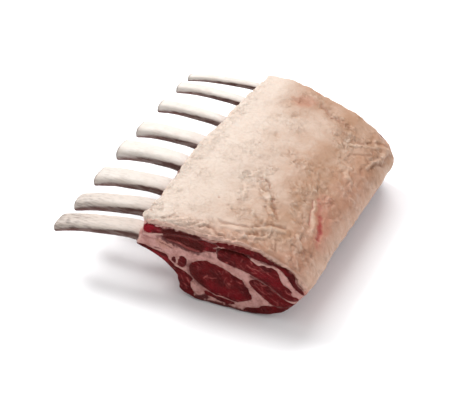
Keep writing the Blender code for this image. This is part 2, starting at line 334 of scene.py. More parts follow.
REGIONS = (
    Region("eye_muscle", pairs(
        -9.7, 25, -9.2, 28, -7.6, 30.2, -3.6, 32.7, 0.4, 34.3, 3.4, 34.8, 5.4, 33.4, 9.6, 33.3, 13, 31.9,
        17, 30.6, 20, 28.6, 24.4, 27.2, 27.3, 25.8, 28.4, 23, 30.8, 20.6, 31.2, 18, 33.6, 15.4, 33.4, 12.4,
        30.4, 10.4, 26, 8.3, 22.4, 6.9, 18, 7.7, 13.6, 8.8, 8.6, 8.6, 5, 9.9, 0.6, 12.4, -3, 14.8, -6, 17,
        -8.8, 20.4,
    ), bulge=0.8),
    Region("under_eye_muscle", pairs(
        0.4, 9.4, 2.4, 10, 5.2, 8.9, 8.6, 7.8, 12.4, 8.1, 17, 7.2, 21.4, 6.3, 21.8, 5, 17.6, 3.9, 13, 4.1,
        9.6, 4.8, 7, 6, 3.5, 6.6, 1.2, 7.4,
    ), ragged=0.42, softness=0.5),
    Region("broad_muscle", pairs(
        10.2, 44.8, 12, 46.3, 17, 46.6, 24, 46.5, 29, 46.1, 31.6, 45.2, 34, 43.2, 36.8, 41.2, 39, 41.4, 41,
        42.4, 43.4, 41.5, 46.4, 42.5, 48.4, 41.6, 50.2, 39.7, 51.6, 37.6, 52.4, 34.6, 53.4, 31.6, 55.4,
        29.8, 58, 28.9, 60.4, 26.6, 58.8, 24.9, 61, 23.8, 64.8, 22.5, 65.3, 20.4, 60.6, 19.2, 57, 19.2,
        54.2, 20.6, 51.6, 22.6, 48, 25, 44.4, 27.1, 40.4, 29.5, 36.6, 31.1, 33, 32.3, 28.6, 33.6, 24, 35,
        18, 35.6, 14.4, 36.6, 11, 37.6, 9.7, 40,
    ), bulge=0.5, ragged=0.38),
    Region("side_muscle", pairs(
        31.1, 27, 33, 28.9, 35.6, 29.7, 38.6, 28.9, 42, 27.5, 46, 25.5, 50, 22.9, 53.6, 19.9, 56.4, 18.2,
        59, 17.8, 63.4, 17.6, 63.4, 15.2, 60.4, 14.6, 56.4, 13.4, 52.4, 12.4, 48.4, 11.7, 46.4, 12.4, 44.8,
        14, 41.8, 15.8, 39.4, 17.8, 36.6, 19.9, 33.6, 22.4, 31.2, 24.8,
    ), bulge=0.4, ragged=0.38),
    Region("outer_strip_muscle", pairs(
        8, 50.9, 12, 51.4, 17, 52, 22, 52.9, 26.4, 53, 29.4, 52.1, 33.4, 51.8, 37.4, 50.9, 40.4, 50, 43.4,
        48.6, 47, 46.6, 50.6, 45.4, 55.4, 44.4, 58.4, 43, 60.8, 40.8, 61.9, 38.4, 62, 35.6, 63, 33.3, 66,
        31.2, 68.2, 29, 68.3, 26.6, 66, 27.4, 63, 29.4, 60.6, 31.8, 58.8, 34.4, 56.6, 37.6, 54, 40.4, 51.4,
        43, 48, 44.1, 44.6, 43.8, 42, 44.9, 39.6, 45.3, 36.6, 45.2, 33.6, 46, 31, 46.5, 24, 47, 16, 47.1,
        13.4, 48.1, 9, 49.6,
    ), bulge=-0.5, ragged=0.38, softness=0.6),
    Region("wedge_muscle", pairs(
        -41, 48.4, -40.6, 51.2, -38.4, 52.6, -34, 52.7, -29.4, 52, -26.6, 50.9, -24.4, 51.8, -20.4, 52.6,
        -12, 52.3, -5.4, 52.4, -1.2, 51.5, -3, 50.4, -8, 49.8, -14, 49.6, -20, 49.1, -26, 48.2, -30, 47.2,
        -34, 46.2, -38, 45.3, -40.4, 46.2,
    ), bulge=-0.7, softness=0.6),
    Region("inner_strip_muscle", pairs(
        -28, 46, -24.6, 47.5, -20, 48.4, -14, 49, -8, 49.2, -2, 49.7, 4, 49.8, 8.4, 49.4, 10.4, 48.2, 8.6,
        46.8, 9, 45.6, 9, 43.2, 5, 42.4, 1.4, 42, -0.6, 40.4, -4, 39.5, -9.6, 39.8, -13, 40.9, -15.4, 42.3,
        -19, 42.7, -24, 43.2,
    ), bulge=-0.6, ragged=0.42),
    Region("small_muscle_right", pairs(
        -13.9, 33.6, -16.4, 32.6, -16.2, 30.8, -17.5, 29.6, -17.3, 27.3, -18.2, 25.6, -16.8, 24.7, -14.6,
        24, -13, 24.8, -12, 27, -11, 29.8, -11.7, 32.4,
    ), bulge=0.3, softness=0.5),
    Region("small_muscle_left", pairs(
        -20.4, 31.6, -21.6, 29.6, -21.4, 27.6, -20, 26.2, -18.8, 26.6, -18.7, 28.2, -18.9, 29.8, -19.3, 31.2,
    ), bulge=0.2, softness=0.4),
    Region("fat_cap", pairs(
        -45, 52.3, -41.4, 52.9, -36, 53.8, -26, 53.9, -12, 53.2, 6, 52.4, 16, 53.4, 24, 54.4, 31, 53.6, 37,
        52.2, 48, 47.6, 53, 45.8, 58.4, 44.2, 61.8, 41.4, 63.4, 37.4, 64.4, 34.6, 67.6, 31.8, 70, 28.4, 73,
        26, 90, 26, 90, 80, -60, 80, -60, 52.3,
    ), bulge=0.2, softness=0.6, slot=Slot.FAT),
    Region("rib_muscle", pairs(
        -50, 34.9, -46.2, 34.9, -43, 35.4, -39.6, 34.9, -36.4, 34, -33.6, 33.2, -30, 33, -27.6, 32.3, -25,
        30.9, -24.4, 29.4, -23, 27.9, -21.6, 26.2, -20, 24.9, -18, 23.2, -15.4, 22.6, -12.6, 21, -9.8, 19.4,
        -7.4, 17.6, -7, 15.4, -8.8, 14.4, -8.6, 12.4, -9, 10, -7.4, 7.8, -6, 5.6, -6.6, 3.2, -3.4, 1.4, -1,
        -4, -50, -4,
    ), bulge=0.3, ragged=0.38),
    Region("base_muscle", pairs(
        27.4, -4, 27.6, 1, 28, 3.4, 30, 4.6, 33, 5.3, 36.4, 6.8, 38.6, 7.6, 39.4, 9.2, 42.4, 9.9, 46, 10.9,
        49, 11.3, 52.4, 11.9, 56.4, 12.9, 60.4, 14.1, 66, 14.8, 66, -4,
    ), bulge=0.3, ragged=0.42),
)
SEAM = Region("seam_fat", OUTLINE, slot=Slot.SEAM)


@dataclass(frozen=True)
class Streak:
    """A line or a patch that has another colour, and may stand out or lie deeper."""

    tint: Tint
    line: Line
    width: float
    strength: float
    height: float = 0.0


def strokes(tint: Tint, *rows: tuple) -> tuple[Streak, ...]:
    """Streaks of one tint: a row is a line's coordinates, a width, a strength and maybe a height."""
    return tuple(Streak(tint, pairs(*line), *rest) for line, *rest in rows)


# Marbling, silverskin, thin meat, and creases and recesses darkened with painted shade, on both cuts, in the
# section's (x, z).
STREAKS = (
    # fat between the fibres of the eye muscle
    *strokes(Tint.PALE,
        ((0.8, 20.6, 1.8, 21.9, 3.2, 23.3), 0.55, 0.7, 0.1),
        ((3.4, 22.2, 6, 21.8, 9.6, 23.2), 0.4, 0.5, 0.1), ((14.6, 20.4, 15.2, 23.5, 16.2, 25.7), 0.4, 0.35),
        ((19.5, 23.1, 19.9, 24.3), 0.45, 0.5), ((17.6, 10.2, 17.7, 13.6), 0.35, 0.4),
        ((24.4, 15, 25.4, 17), 0.3, 0.3), ((-3.2, 29, -3.2, 25.4), 0.4, 0.25),
        ((16.2, 17.6, 16.6, 20), 0.35, 0.3), ((13.6, 27.6, 14, 30), 0.3, 0.3),
        ((9, 28.4, 9.6, 26), 0.3, 0.2), ((20.4, 18.4, 21, 21.4), 0.3, 0.2),
        ((9.6, 7.4, 12, 8.3, 14.2, 8.4), 0.55, 0.9, 0.2),
    ),
    *strokes(Tint.BRIGHT, ((4, 15, 14, 12.6, 24, 13), 4.5, 0.35)),
    # the broad muscle's bands
    *strokes(Tint.PALE,
        ((26, 41.4, 27, 43.4), 0.5, 0.45), ((30.2, 39.8, 32, 38.6, 35.6, 38.2, 38.2, 37.4), 0.5, 0.65, 0.1),
        ((38.4, 38.8, 41.4, 38.2, 44.6, 38.3), 0.35, 0.4), ((33.4, 34.4, 36.4, 35.2), 0.5, 0.45),
        ((15.2, 36.4, 16.6, 37.7), 0.6, 0.8, 0.15), ((18.4, 39.9, 21.2, 39), 0.35, 0.35),
        ((23.4, 36.1, 28.4, 35), 0.4, 0.35),
        ((55.9, 27, 56.8, 25.5, 59.2, 24.2, 62.4, 23.4), 0.45, 0.7, 0.1),
        ((10.6, 42.9, 12.8, 42.3), 0.4, 0.35),
    ),
    *strokes(Tint.BRIGHT, ((36, 36, 44, 34, 50, 30), 3.5, 0.3)),
    # and the side muscle's
    *strokes(Tint.PALE,
        ((35, 27.6, 36.4, 24.6, 38.6, 22.4, 40.2, 20.6), 0.35, 0.4),
        ((38.8, 27.6, 40.2, 26.1, 42.6, 26.6), 0.55, 0.6, 0.1),
        ((40, 24.6, 41.4, 20.5, 43.6, 20.2), 0.35, 0.4), ((46.4, 24.6, 50, 22.4, 53.2, 20.2), 0.35, 0.5),
        ((50.8, 12.6, 51.2, 17.2), 0.5, 0.3), ((43.6, 19.2, 47.4, 17, 50, 15), 0.35, 0.3),
        ((45.4, 22.6, 47.6, 20.6), 0.35, 0.3),
    ),
    # wedge and strips
    *strokes(Tint.PALE,
        ((-28, 46.9, -20, 48.2, -10, 49.2, -4, 49), 0.8, 0.3),
        ((-24, 43.6, -16, 42.9, -10, 40.8, -3, 40.2), 1, 0.5), ((-31.6, 48.8, -28.4, 49.3), 0.5, 0.3),
        ((-27.4, 51.2, -26, 51.7), 0.5, 0.6), ((0.4, 41.8, 1.8, 42.4), 0.6, 0.6),
        ((-16.2, 43.4, -15, 42.6), 0.6, 0.6), ((-14, 44.4, -10.4, 43.4), 0.4, 0.25),
    ),
    *strokes(Tint.BRIGHT,
        ((-39.4, 48.8, -37.4, 48.2, -36.4, 50.6), 3, 1), ((-34, 50, -29, 49.6), 2.4, 0.5),
        ((-0.6, 43.2, 2.4, 44.2), 1.4, 0.45),
    ),
    # painted shade where the wedge lies back under the fat and along the fat's edge over the outer strip, a
    # shaded groove, and darker meat in the inner strip
    *strokes(Tint.DARK,
        ((-27, 50, -18, 50.8, -4, 51.2), 2.8, 0.95), ((-25, 45.6, -12, 43.6, -2, 43.8), 4.4, 0.9),
        ((-36, 52.6, -29, 51.9, -26.5, 50.6), 0.8, 0.6, -0.3),
        ((46, 47.4, 56, 45, 61.5, 39, 66, 31), 2.2, 0.55),
    ),
    # the muscle along the ribs
    *strokes(Tint.PALE,
        ((-10.9, 16.7, -10.3, 14.8, -9.4, 13), 0.45, 0.7, 0.1), ((-12.6, 11.4, -11.2, 8), 0.5, 0.35),
        ((-15.6, 18.4, -13.6, 13.6), 0.35, 0.35), ((-34.6, 33.6, -31, 34, -28.4, 33.6), 0.35, 0.6),
        ((26.6, 1.4, 30.4, 2.4), 0.4, 0.4),
    ),
    *strokes(Tint.BRIGHT, ((-34, 31.6, -29, 28.8, -25.4, 27.2), 1.4, 0.6)),
    *strokes(Tint.DARK, ((-44, 34, -38, 33.2, -33, 32.4), 1, 0.5)),
    # thin meat in the fat between the muscles
    *strokes(Tint.LEAN,
        ((-33.8, 34.8, -31, 35.2, -28.4, 34.6), 0.5, 0.7),
        ((-5, 0.8, 4, 0.7, 14, 0.9, 27, 0.7), 1.9, 1, 0.3),
        ((33, 30.8, 38, 29.8, 44, 27.2, 50, 23.8, 54, 20.8), 1.3, 0.8),
        ((-26, 43.8, -18, 42.2, -12, 40.4, -4, 39.4), 2.4, 0.85), ((-4, 49.9, 4, 50.4, 8, 50.2), 0.7, 0.7),
        ((32, 45.4, 36, 44.2, 40, 44.4, 46, 43.4), 0.8, 0.4),
        ((-4.8, 2.4, -1.4, 3.6, 2.4, 5.4), 2.3, 1, 0.3), ((4.6, 2, 9, 2.2, 13.4, 2.4), 1.1, 1),
        ((16.4, 2.8, 19.2, 1.8), 1.5, 1, 0.3), ((23.2, 1.8, 25.4, 1.4), 1.6, 1, 0.3),
        ((-5, 3.2, -5.4, 5), 1, 0.5), ((5, 8.6, 8.6, 7.6, 17.6, 7.2, 22, 6.2), 0.5, 0.55),
        ((-41, 42.4, -36, 41.8, -31, 42.2), 0.5, 0.3), ((-31, 44.6, -27, 44.9, -24, 44.6), 1.6, 0.5),
        ((-3, 38.9, 3.2, 38.4, 6, 38), 1.3, 0.35), ((4.6, 41.4, 5.2, 38), 0.9, 0.4),
        ((-30.6, 45.6, -24.6, 47.6), 0.9, 0.5), ((-26, 47.9, -14, 49.3, -4, 49.8, 2, 50), 0.7, 0.9, -0.4),
        ((7.6, 49.4, 9.8, 47.4, 10, 43), 1.5, 0.97), ((13, 47.2, 20, 46.9, 30, 46.4), 0.6, 1),
        ((38.6, 44.8, 43, 43.6), 0.5, 0.5), ((47, 11.3, 52, 12.2, 57, 13.2, 64, 15), 0.7, 0.95),
    ),
    # creases and grooves darkened with painted shade, painted shade along the foot of the cut, and a darker
    # patch of the eye muscle
    *strokes(Tint.DARK,
        ((-29.4, 40.3, -26, 39.3, -23.4, 38.6, -21.4, 37.4), 0.5, 0.55, -0.5),
        ((-30.4, 38.6, -29.4, 36.8), 0.5, 0.35, -0.2),
        ((10.6, 46.2, 16, 46.6, 24, 46.6, 31, 46.1), 1.2, 1, -1.5),
        ((-24, 47, -12, 48, -3, 48.4), 1.2, 0.45, -0.4),
        ((38, 45.8, 44, 44.6, 50, 45, 56, 43.2, 60.4, 39.6, 61.3, 35), 0.8, 0.5, -0.5),
        ((58, 38, 61, 32.6, 67, 28), 0.7, 0.5, -0.2), ((29, 2, 36, 4.2), 2, 0.5),
        ((-4, 0.5, 12, 0.6, 28, 0.8), 1.5, 0.6), ((-9, 27, -7, 20, -1, 15), 4.2, 0.6),
    ),
    *strokes(Tint.TAN, ((-30, 40.6, -26, 38.4, -23.4, 42), 3, 0.5)),
    # membranes that catch the light
    *strokes(Tint.SILVER,
        ((-45.4, 35.8, -44, 38.6, -43.4, 41.6), 0.8, 1, 0.3), ((12.2, 47.6, 14, 48.3), 0.7, 0.8, 0.3),
        ((7.4, 46.1, 9.6, 47.1, 11.2, 47.6), 0.5, 0.7, 0.3),
        ((33, 44.8, 36.4, 42.9, 38, 42.4), 0.9, 0.5, 0.3),
        ((37.6, 42.2, 40.6, 43.6, 43.8, 42.6, 46.2, 43.3, 50.4, 41.4), 0.5, 0.6, 0.3),
        ((-19.8, 24.4, -17, 23.8, -14, 23.2), 0.6, 0.5, 0.2), ((-18.3, 30.4, -18, 27.2), 0.4, 0.6, 0.2),
        ((57, 18.8, 60, 18.4, 62.6, 18.6), 0.5, 0.6, 0.2),
        ((-40.4, 44, -36, 44.4, -31, 45.9, -28, 47.1), 0.7, 0.7, 0.2),
        ((53, 40.6, 55.6, 36, 57.6, 32), 1, 0.3, 0.2),
    ),
)

# Folds, pits and stains of the outside of the fat, with painted shade in creases and pits and painted
# highlights on folds, at (x, y) of the frame.
FAT_MARKS = (
    # patches of small lumps
    *strokes(Tint.CRINKLE,
        ((-28, -92, -27, -60, -25, -20, -24, 30, -22, 84), 7, 0.72), ((-26, -95, -24, -84), 7, 0.9, 0.9),
        ((-22, -10, -14, 2), 7, 0.5), ((-28, -30, -10, -40), 8, 0.6), ((-6, -14, 6, 8), 7, 0.45),
        ((14, -27, 22, -19, 27, -12), 5, 0.95), ((16, -27, 20, -38, 23, -50), 5, 0.8),
        ((26, -26, 34, -36, 40, -46, 49, -60), 5.6, 1), ((24, -62, 36, -68, 46, -66), 7, 0.75),
        ((-12, -94, 0, -91, 14, -86), 6, 1), ((16, -90, 34, -93), 6, 0.7),
        ((40, -88, 46, -82, 53, -76), 6.6, 1), ((56, -84, 66, -74, 72, -64, 76, -84), 9, 0.95),
        ((34, 8, 46, 0, 58, -8, 64, -20), 9, 0.7), ((52, -22, 58, -36, 62, -50), 7, 0.7),
        ((56, 42, 62, 30, 68, 18, 72, 4), 7, 0.85), ((56, 50, 68, 56, 80, 66), 9, 0.9),
        ((76, 54, 77, 34), 7, 0.8), ((26, 76, 40, 68, 52, 63), 5, 0.8), ((70, -16, 76, -28), 4, 0.6),
        ((4, 40, 16, 52, 24, 40), 8, 0.35),
    ),
    # the long gash, and the pale lips beside it
    *strokes(Tint.RED,
        ((64, -20, 67, -27, 71, -36), 1.1, 0.3, -0.2), ((71, -36, 74.4, -45, 77.4, -54), 1.7, 0.65, -0.4),
        ((72.6, -40, 76, -49), 0.8, 0.6), ((77.4, -54, 80, -61), 1.1, 0.25, -0.2),
        ((61.6, -25, 65.6, -36, 69, -47), 0.6, 0.35, -0.3),
    ),
    *strokes(Tint.SILVER, ((63.4, -26, 67.4, -36, 71.4, -48, 73, -56), 0.9, 0.4, 0.3)),
    *strokes(Tint.PINK, ((68, -18, 74, -38, 80, -58), 5, 0.6)),
    # folds and creases: painted shade in the creases, painted highlights on the folds and lumps
    *strokes(Tint.DARK,
        ((-14, -93, -7, -87), 1, 0.3, -0.6), ((16, -87, 24, -91, 33, -97), 1, 0.35, -0.6),
        ((20, -79, 38, -79, 46, -73, 59, -63), 1.3, 0.3, -0.6),
        ((23, -22, 29, -25, 35, -31), 0.9, 0.35, -0.5), ((40, -40, 47, -52, 51, -60), 1.1, 0.35, -0.5),
        ((46.6, -85.8, 50.8, -79), 0.7, 0.4, -0.4), ((42.2, -84.2, 47, -80.4), 0.8, 0.35, -0.4),
        ((8.8, -90.2, 9.8, -86), 0.7, 0.35, -0.3), ((-25.6, -87.6, -21, -90.4), 0.8, 0.4, -0.4),
    ),
    *strokes(Tint.SILVER,
        ((24, -83, 38, -82.6, 46, -77.6, 60, -67), 1.8, 0.35, 0.5),
        ((34, -38, 40, -47, 46, -58), 1.7, 0.4, 0.5), ((15, -25, 21, -19), 1.8, 0.4, 0.5),
        ((17, -30, 22, -48), 1.6, 0.3, 0.4), ((67, 24, 70, 12), 1.8, 0.4, 0.5),
        ((68, -64, 73, -72), 1.6, 0.4, 0.5), ((41, -90, 45, -84), 1.3, 0.3, 0.6),
        ((44, -89, 48.6, -82.6), 1.2, 0.3, 0.6), ((48, -84.6, 53, -79.6), 1.4, 0.35, 0.6),
        ((-8, -94.2, -1, -91.4), 2, 0.3, 0.5), ((4.6, -89.2, 7.6, -87.2), 1.8, 0.35, 0.6),
        ((10.8, -88.4, 13.4, -86.4), 1.8, 0.35, 0.6), ((-27, -92.4, -24, -90.4), 2.2, 0.3, 0.7),
        ((-22.6, -86.4), 2.6, 0.25, 0.6),
    ),
    # pits, darkened inside with painted shade
    *strokes(Tint.TAN, ((15.4, 52, 16.6, 53), 1.8, 0.4, -0.6), ((12, 28, 13.4, 25), 1.6, 0.3, -0.6)),
    *strokes(Tint.DARK, ((10, -57), 1, 0.5, -0.4)),
    # stains
    *strokes(Tint.LEAN, ((13.6, 72.4), 5.2, 0.4, -0.3)),
    *strokes(Tint.PINK, ((13.6, 72.4), 9, 0.5), ((17, 92, 20, 89), 2, 0.6)),
    # a crease among the stains, darkened with painted shade
    *strokes(Tint.DARK, ((27, 75, 34, 70, 40, 66, 52, 64), 2.2, 0.35, -0.5)),
    *strokes(Tint.TAN, ((30, 74, 38, 66, 48, 64), 4.4, 0.7), ((44, 82, 56, 72, 66, 62), 9, 0.7)),
    # wrinkles round the far corner: painted shade in the creases, painted highlights on the ridges
    *strokes(Tint.DARK,
        ((60, 52, 68, 58, 80, 70), 1.1, 0.22, -0.3), ((62, 34, 70, 44, 74, 54), 1.1, 0.2, -0.35),
        ((82, 68, 80, 54, 78, 36), 1.2, 0.22, -0.35), ((74, 30, 76, 22), 1, 0.3, -0.5),
    ),
    *strokes(Tint.SILVER,
        ((80, 66, 77.6, 50, 76, 34), 1.3, 0.35, 0.6), ((58, 46, 68, 53, 79, 63), 1.4, 0.3, 0.5),
    ),
)


# ---- the drawing of the cut, as a mesh of regions ----------------------------------------------
@dataclass
class CutDrawing:
    """The section, divided among the layers by a fine flat mesh whose edges follow their outlines."""

    spacing: float = 0.6
    edge_spacing: float = 0.75
    edge_softness: float = 0.7
    clearance: float = 0.42  # from an outline to the nearest loose point
    smallest: float = 1.6  # area below which a scrap joins its neighbour
    points: np.ndarray = field(init=False)
    triangles: np.ndarray = field(init=False)
    owner: np.ndarray = field(init=False)  # region of each triangle; the seam is the last

    def __post_init__(self) -> None:
        """Draws the outlines and fills them with triangles."""
        outer = rounded(OUTLINE, self.edge_softness, self.edge_spacing)
        outer[:, 1] = np.maximum(outer[:, 1], 0.0)
        loops = [self._wandering(region, number) for number, region in enumerate(REGIONS)]
        corners, edges = [], []
        for loop in [outer, *loops]:
            first = len(corners)
            corners += [Vector(p) for p in loop]
            edges += [(first + k, first + (k + 1) % len(loop)) for k in range(len(loop))]
        corners += [Vector(p) for p in self._loose_points(np.vstack([outer, *loops]), outer)]
        points, _, faces, *_ = delaunay_2d_cdt(corners, edges, [], 0, 1e-5)
        points = np.array([tuple(p) for p in points])
        faces = np.array([f for f in faces if len(f) == 3])
        middles = points[faces].mean(axis=1)
        owner = np.full(len(faces), len(REGIONS))
        for number in range(len(REGIONS) - 1, -1, -1):
            owner[inside(middles, loops[number])] = number
        keep = inside(middles, outer)
        faces, owner = faces[keep], owner[keep]
        turned = doubled_areas(points, faces) < 0
        faces[turned] = faces[turned][:, ::-1]
        used, numbered = np.unique(faces, return_inverse=True)
        self.points, self.triangles = points[used], numbered.reshape(-1, 3)
        self.owner = self._without_scraps(owner)

    def _wandering(self, region: Region, number: int) -> np.ndarray:
        """A region's outline, uneven as a cut edge is."""
        loop = rounded(region.outline, region.softness, self.edge_spacing)
        along = np.roll(loop, -1, axis=0) - np.roll(loop, 1, axis=0)
        out = np.stack([along[:, 1], -along[:, 0]], axis=1)
        out /= np.linalg.norm(out, axis=1, keepdims=True)
        spots = np.column_stack([loop, np.full(len(loop), 7.0 * number)])
        drift = Noise(40).at(spots, 3.2) + 0.7 * Noise(41).at(spots, 1.5)
        return loop + out * (region.ragged * drift)[:, None]

    def _loose_points(self, fence: np.ndarray, outer: np.ndarray) -> np.ndarray:
        """Points on a triangular lattice, inside the section and clear of the fence."""
        low, high = outer.min(axis=0), outer.max(axis=0)
        rows = np.arange(low[1], high[1], self.spacing * math.sqrt(0.75))
        line = np.arange(low[0], high[0], self.spacing)
        lattice = [(x + self.spacing / 2 * (k % 2), z) for k, z in enumerate(rows) for x in line]
        lattice = np.array(lattice)
        lattice = lattice[inside(lattice, outer)]
        return lattice[nearest(lattice, fence)[1] > self.clearance]

    def _without_scraps(self, owner: np.ndarray) -> np.ndarray:
        """Owners of the triangles, once each scrap has joined the region that it touches most."""
        area = 0.5 * np.abs(doubled_areas(self.points, self.triangles))
        sides: dict = {}
        for number, corners in enumerate(self.triangles.tolist()):
            for k in range(3):
                sides.setdefault(frozenset((corners[k], corners[k - 1])), []).append(number)
        beside: list = [[] for _ in owner]
        for pair in sides.values():
            if len(pair) == 2:
                beside[pair[0]].append(pair[1])
                beside[pair[1]].append(pair[0])
        seen = np.zeros(len(owner), bool)
        for first in range(len(owner)):
            if seen[first]:
                continue
            patch, queue, borders = [], [first], []
            seen[first] = True
            while queue:
                here = queue.pop()
                patch.append(here)
                for other in beside[here]:
                    if owner[other] != owner[first]:
                        borders.append(owner[other])
                    elif not seen[other]:
                        seen[other] = True
                        queue.append(other)
            if borders and area[patch].sum() < self.smallest:
                owner[patch] = np.bincount(borders).argmax()
        return owner

    def border(self, number: int | None = None) -> np.ndarray:
        """Edges round a region, or round the whole section, with the meat to the left of each."""
        faces = self.triangles if number is None else self.triangles[self.owner == number]
        edges = np.vstack([faces[:, [0, 1]], faces[:, [1, 2]], faces[:, [2, 0]]]).tolist()
        known = set(map(tuple, edges))
        return np.array([e for e in edges if (e[1], e[0]) not in known])


# ---- relief and tints ----------------------------------------------------------------------------
# Height of the lower edge of the fat on the cut, from its ribs' side to its back.
FAT_FOOT_X = (-41.0, 37.0, 48.0, 58.0, 62.0, 64.0, 68.0, 70.5)
FAT_FOOT_Z = (52.0, 51.4, 46.6, 42.6, 38.0, 34.0, 30.0, 26.5)


def topness(section: np.ndarray) -> np.ndarray:
    """How much each place in the section belongs to the top and the back of the fat, 0 to 1."""
    return ramp(section[:, 1] - np.interp(section[:, 0], FAT_FOOT_X, FAT_FOOT_Z), -1.6, 1.0)


@dataclass
class Surface:
    """Heights and tints of a set of points."""

    height: np.ndarray
    tints: dict

    @classmethod
    def flat(cls, count: int) -> "Surface":
        """A surface with no relief and no tint."""
        return cls(np.zeros(count), {tint: np.zeros(count) for tint in Tint})

    def add(self, tint: Tint, amount: np.ndarray) -> None:
        """Lays more of a tint on, so that it comes near 1 but doesn't pass it."""
        old = self.tints[tint]
        self.tints[tint] = old + (1.0 - old) * np.clip(amount, 0.0, 1.0)

    def draw(self, streaks: Iterable[Streak], places: np.ndarray, jitter: np.ndarray) -> None:
        """Draws streaks.

        Args:
            streaks: what is drawn.
            places: the points' places in the plane that the streaks were drawn in.
            jitter: a random field, which makes their edges uneven.
        """
        for streak in streaks:
            away = distance_to_line(places, streak.line) / streak.width + 0.45 * jitter
            self.add(streak.tint, streak.strength * (1.0 - ramp(away, 0.45, 1.25)))
            self.height = self.height + streak.height * (1.0 - ramp(away, 0.1, 1.5))


@dataclass
class CutFace:
    """Relief and tints of a cut, for every point of the drawing. Heights are out of the cut."""

    drawing: CutDrawing
    seed: int
    fillet: float = 2.0
    fat_fillet: float = 4.4  # added round the fat
    grain: float = 0.14
    roll: float = 0.25  # how far a fillet falls, as a share of its radius
    heel: float = 0.0  # added to the radius at the back of the fat
    heel_out: float = 0.0  # how far the cut swells there
    fray: float = 1.0  # how far the edge of the fat wanders
    surface: Surface = field(init=False)
    inset: np.ndarray = field(init=False)
    radius: np.ndarray = field(init=False)
    wander: np.ndarray = field(init=False)  # how far its outer edge lies in from the outline

    def __post_init__(self) -> None:
        """Works the face out."""
        points = self.drawing.points
        face = self.surface = Surface.flat(len(points))
        spots = np.column_stack([points, np.full(len(points), float(self.seed))])
        face.draw(STREAKS, points, Noise(60 + self.seed).at(spots, 1.6))
        coarse = Noise(70 + self.seed).rough(spots, 7.0)
        fine = Noise(75 + self.seed).rough(spots, 2.2)
        lumps = Noise(78 + self.seed).curds(spots + 1.8 * fine[:, None], 3.6, (1.5, 1.0, 1.0))
        fatty = topness(points)
        face.height += (0.30 + 0.9 * fatty) * coarse + (self.grain + 0.3 * fatty) * fine
        face.height += fatty * (lumps - 0.6)
        face.add(Tint.CRINKLE, fatty)
        face.add(Tint.TAN, fatty * 0.7 * ramp(points[:, 0] + 9.0 * coarse, -34.0, 60.0))
        # painted shade between the fat's lumps
        face.add(Tint.DARK, fatty * 0.1 * (1.0 - ramp(lumps, 0.1, 0.5)))
        # painted highlights on the tops of the fat's lumps
        face.add(Tint.SILVER, fatty * 0.4 * ramp(lumps, 0.66, 0.9))
        face.add(Tint.PINK, fatty * (0.45 + 0.4 * coarse))
        self._bulges(points)
        self._fillet(points, fatty)
        face.tints[Tint.CUT][:] = 1.0

    def _bulges(self, points: np.ndarray) -> None:
        """Lets each layer stand out of the cut or lie back in it, and marks its edge."""
        lift = np.zeros(len(points))
        edge = self.surface.tints[Tint.EDGE]
        for number, region in enumerate((*REGIONS, SEAM)):
            mine = np.unique(self.drawing.triangles[self.drawing.owner == number])
            _, away = nearest(points[mine], points[np.unique(self.drawing.border(number))])
            lift[mine] += region.bulge * ramp(away, 0.0, 3.4)
            edge[mine] = np.maximum(edge[mine], 1.0 - ramp(away, 0.0, 1.3))
        self.surface.height += lift

    def _fillet(self, points: np.ndarray, fatty: np.ndarray) -> None:
        """Rounds the face over at its outer edge."""
        behind = ramp(points[:, 0], 50.0, 69.0) * ramp(points[:, 1], 12.0, 22.0)
        spots = np.column_stack([points, np.full(len(points), 3.0 * self.seed)])
        self.radius = self.fillet + self.fat_fillet * fatty + self.heel * behind
        self.radius *= 1.0 + 0.4 * Noise(82).rough(spots, 8.0, 2)
        away = nearest(points, points[np.unique(self.drawing.border())])[1] / self.radius
        away = np.minimum(away, 1.0)
        fall = self.roll * self.radius * (1.0 - away) ** 2
        self.surface.height *= 0.35 + 0.65 * ramp(away, 0.0, 1.0)
        self.surface.height += self.heel_out * behind - fall
        self.wander = self.fray * (0.15 + 0.85 * fatty) * Noise(84).rough(spots, 4.5, 2)
        self.inset = fall + self.wander * (1.0 - away) ** 2


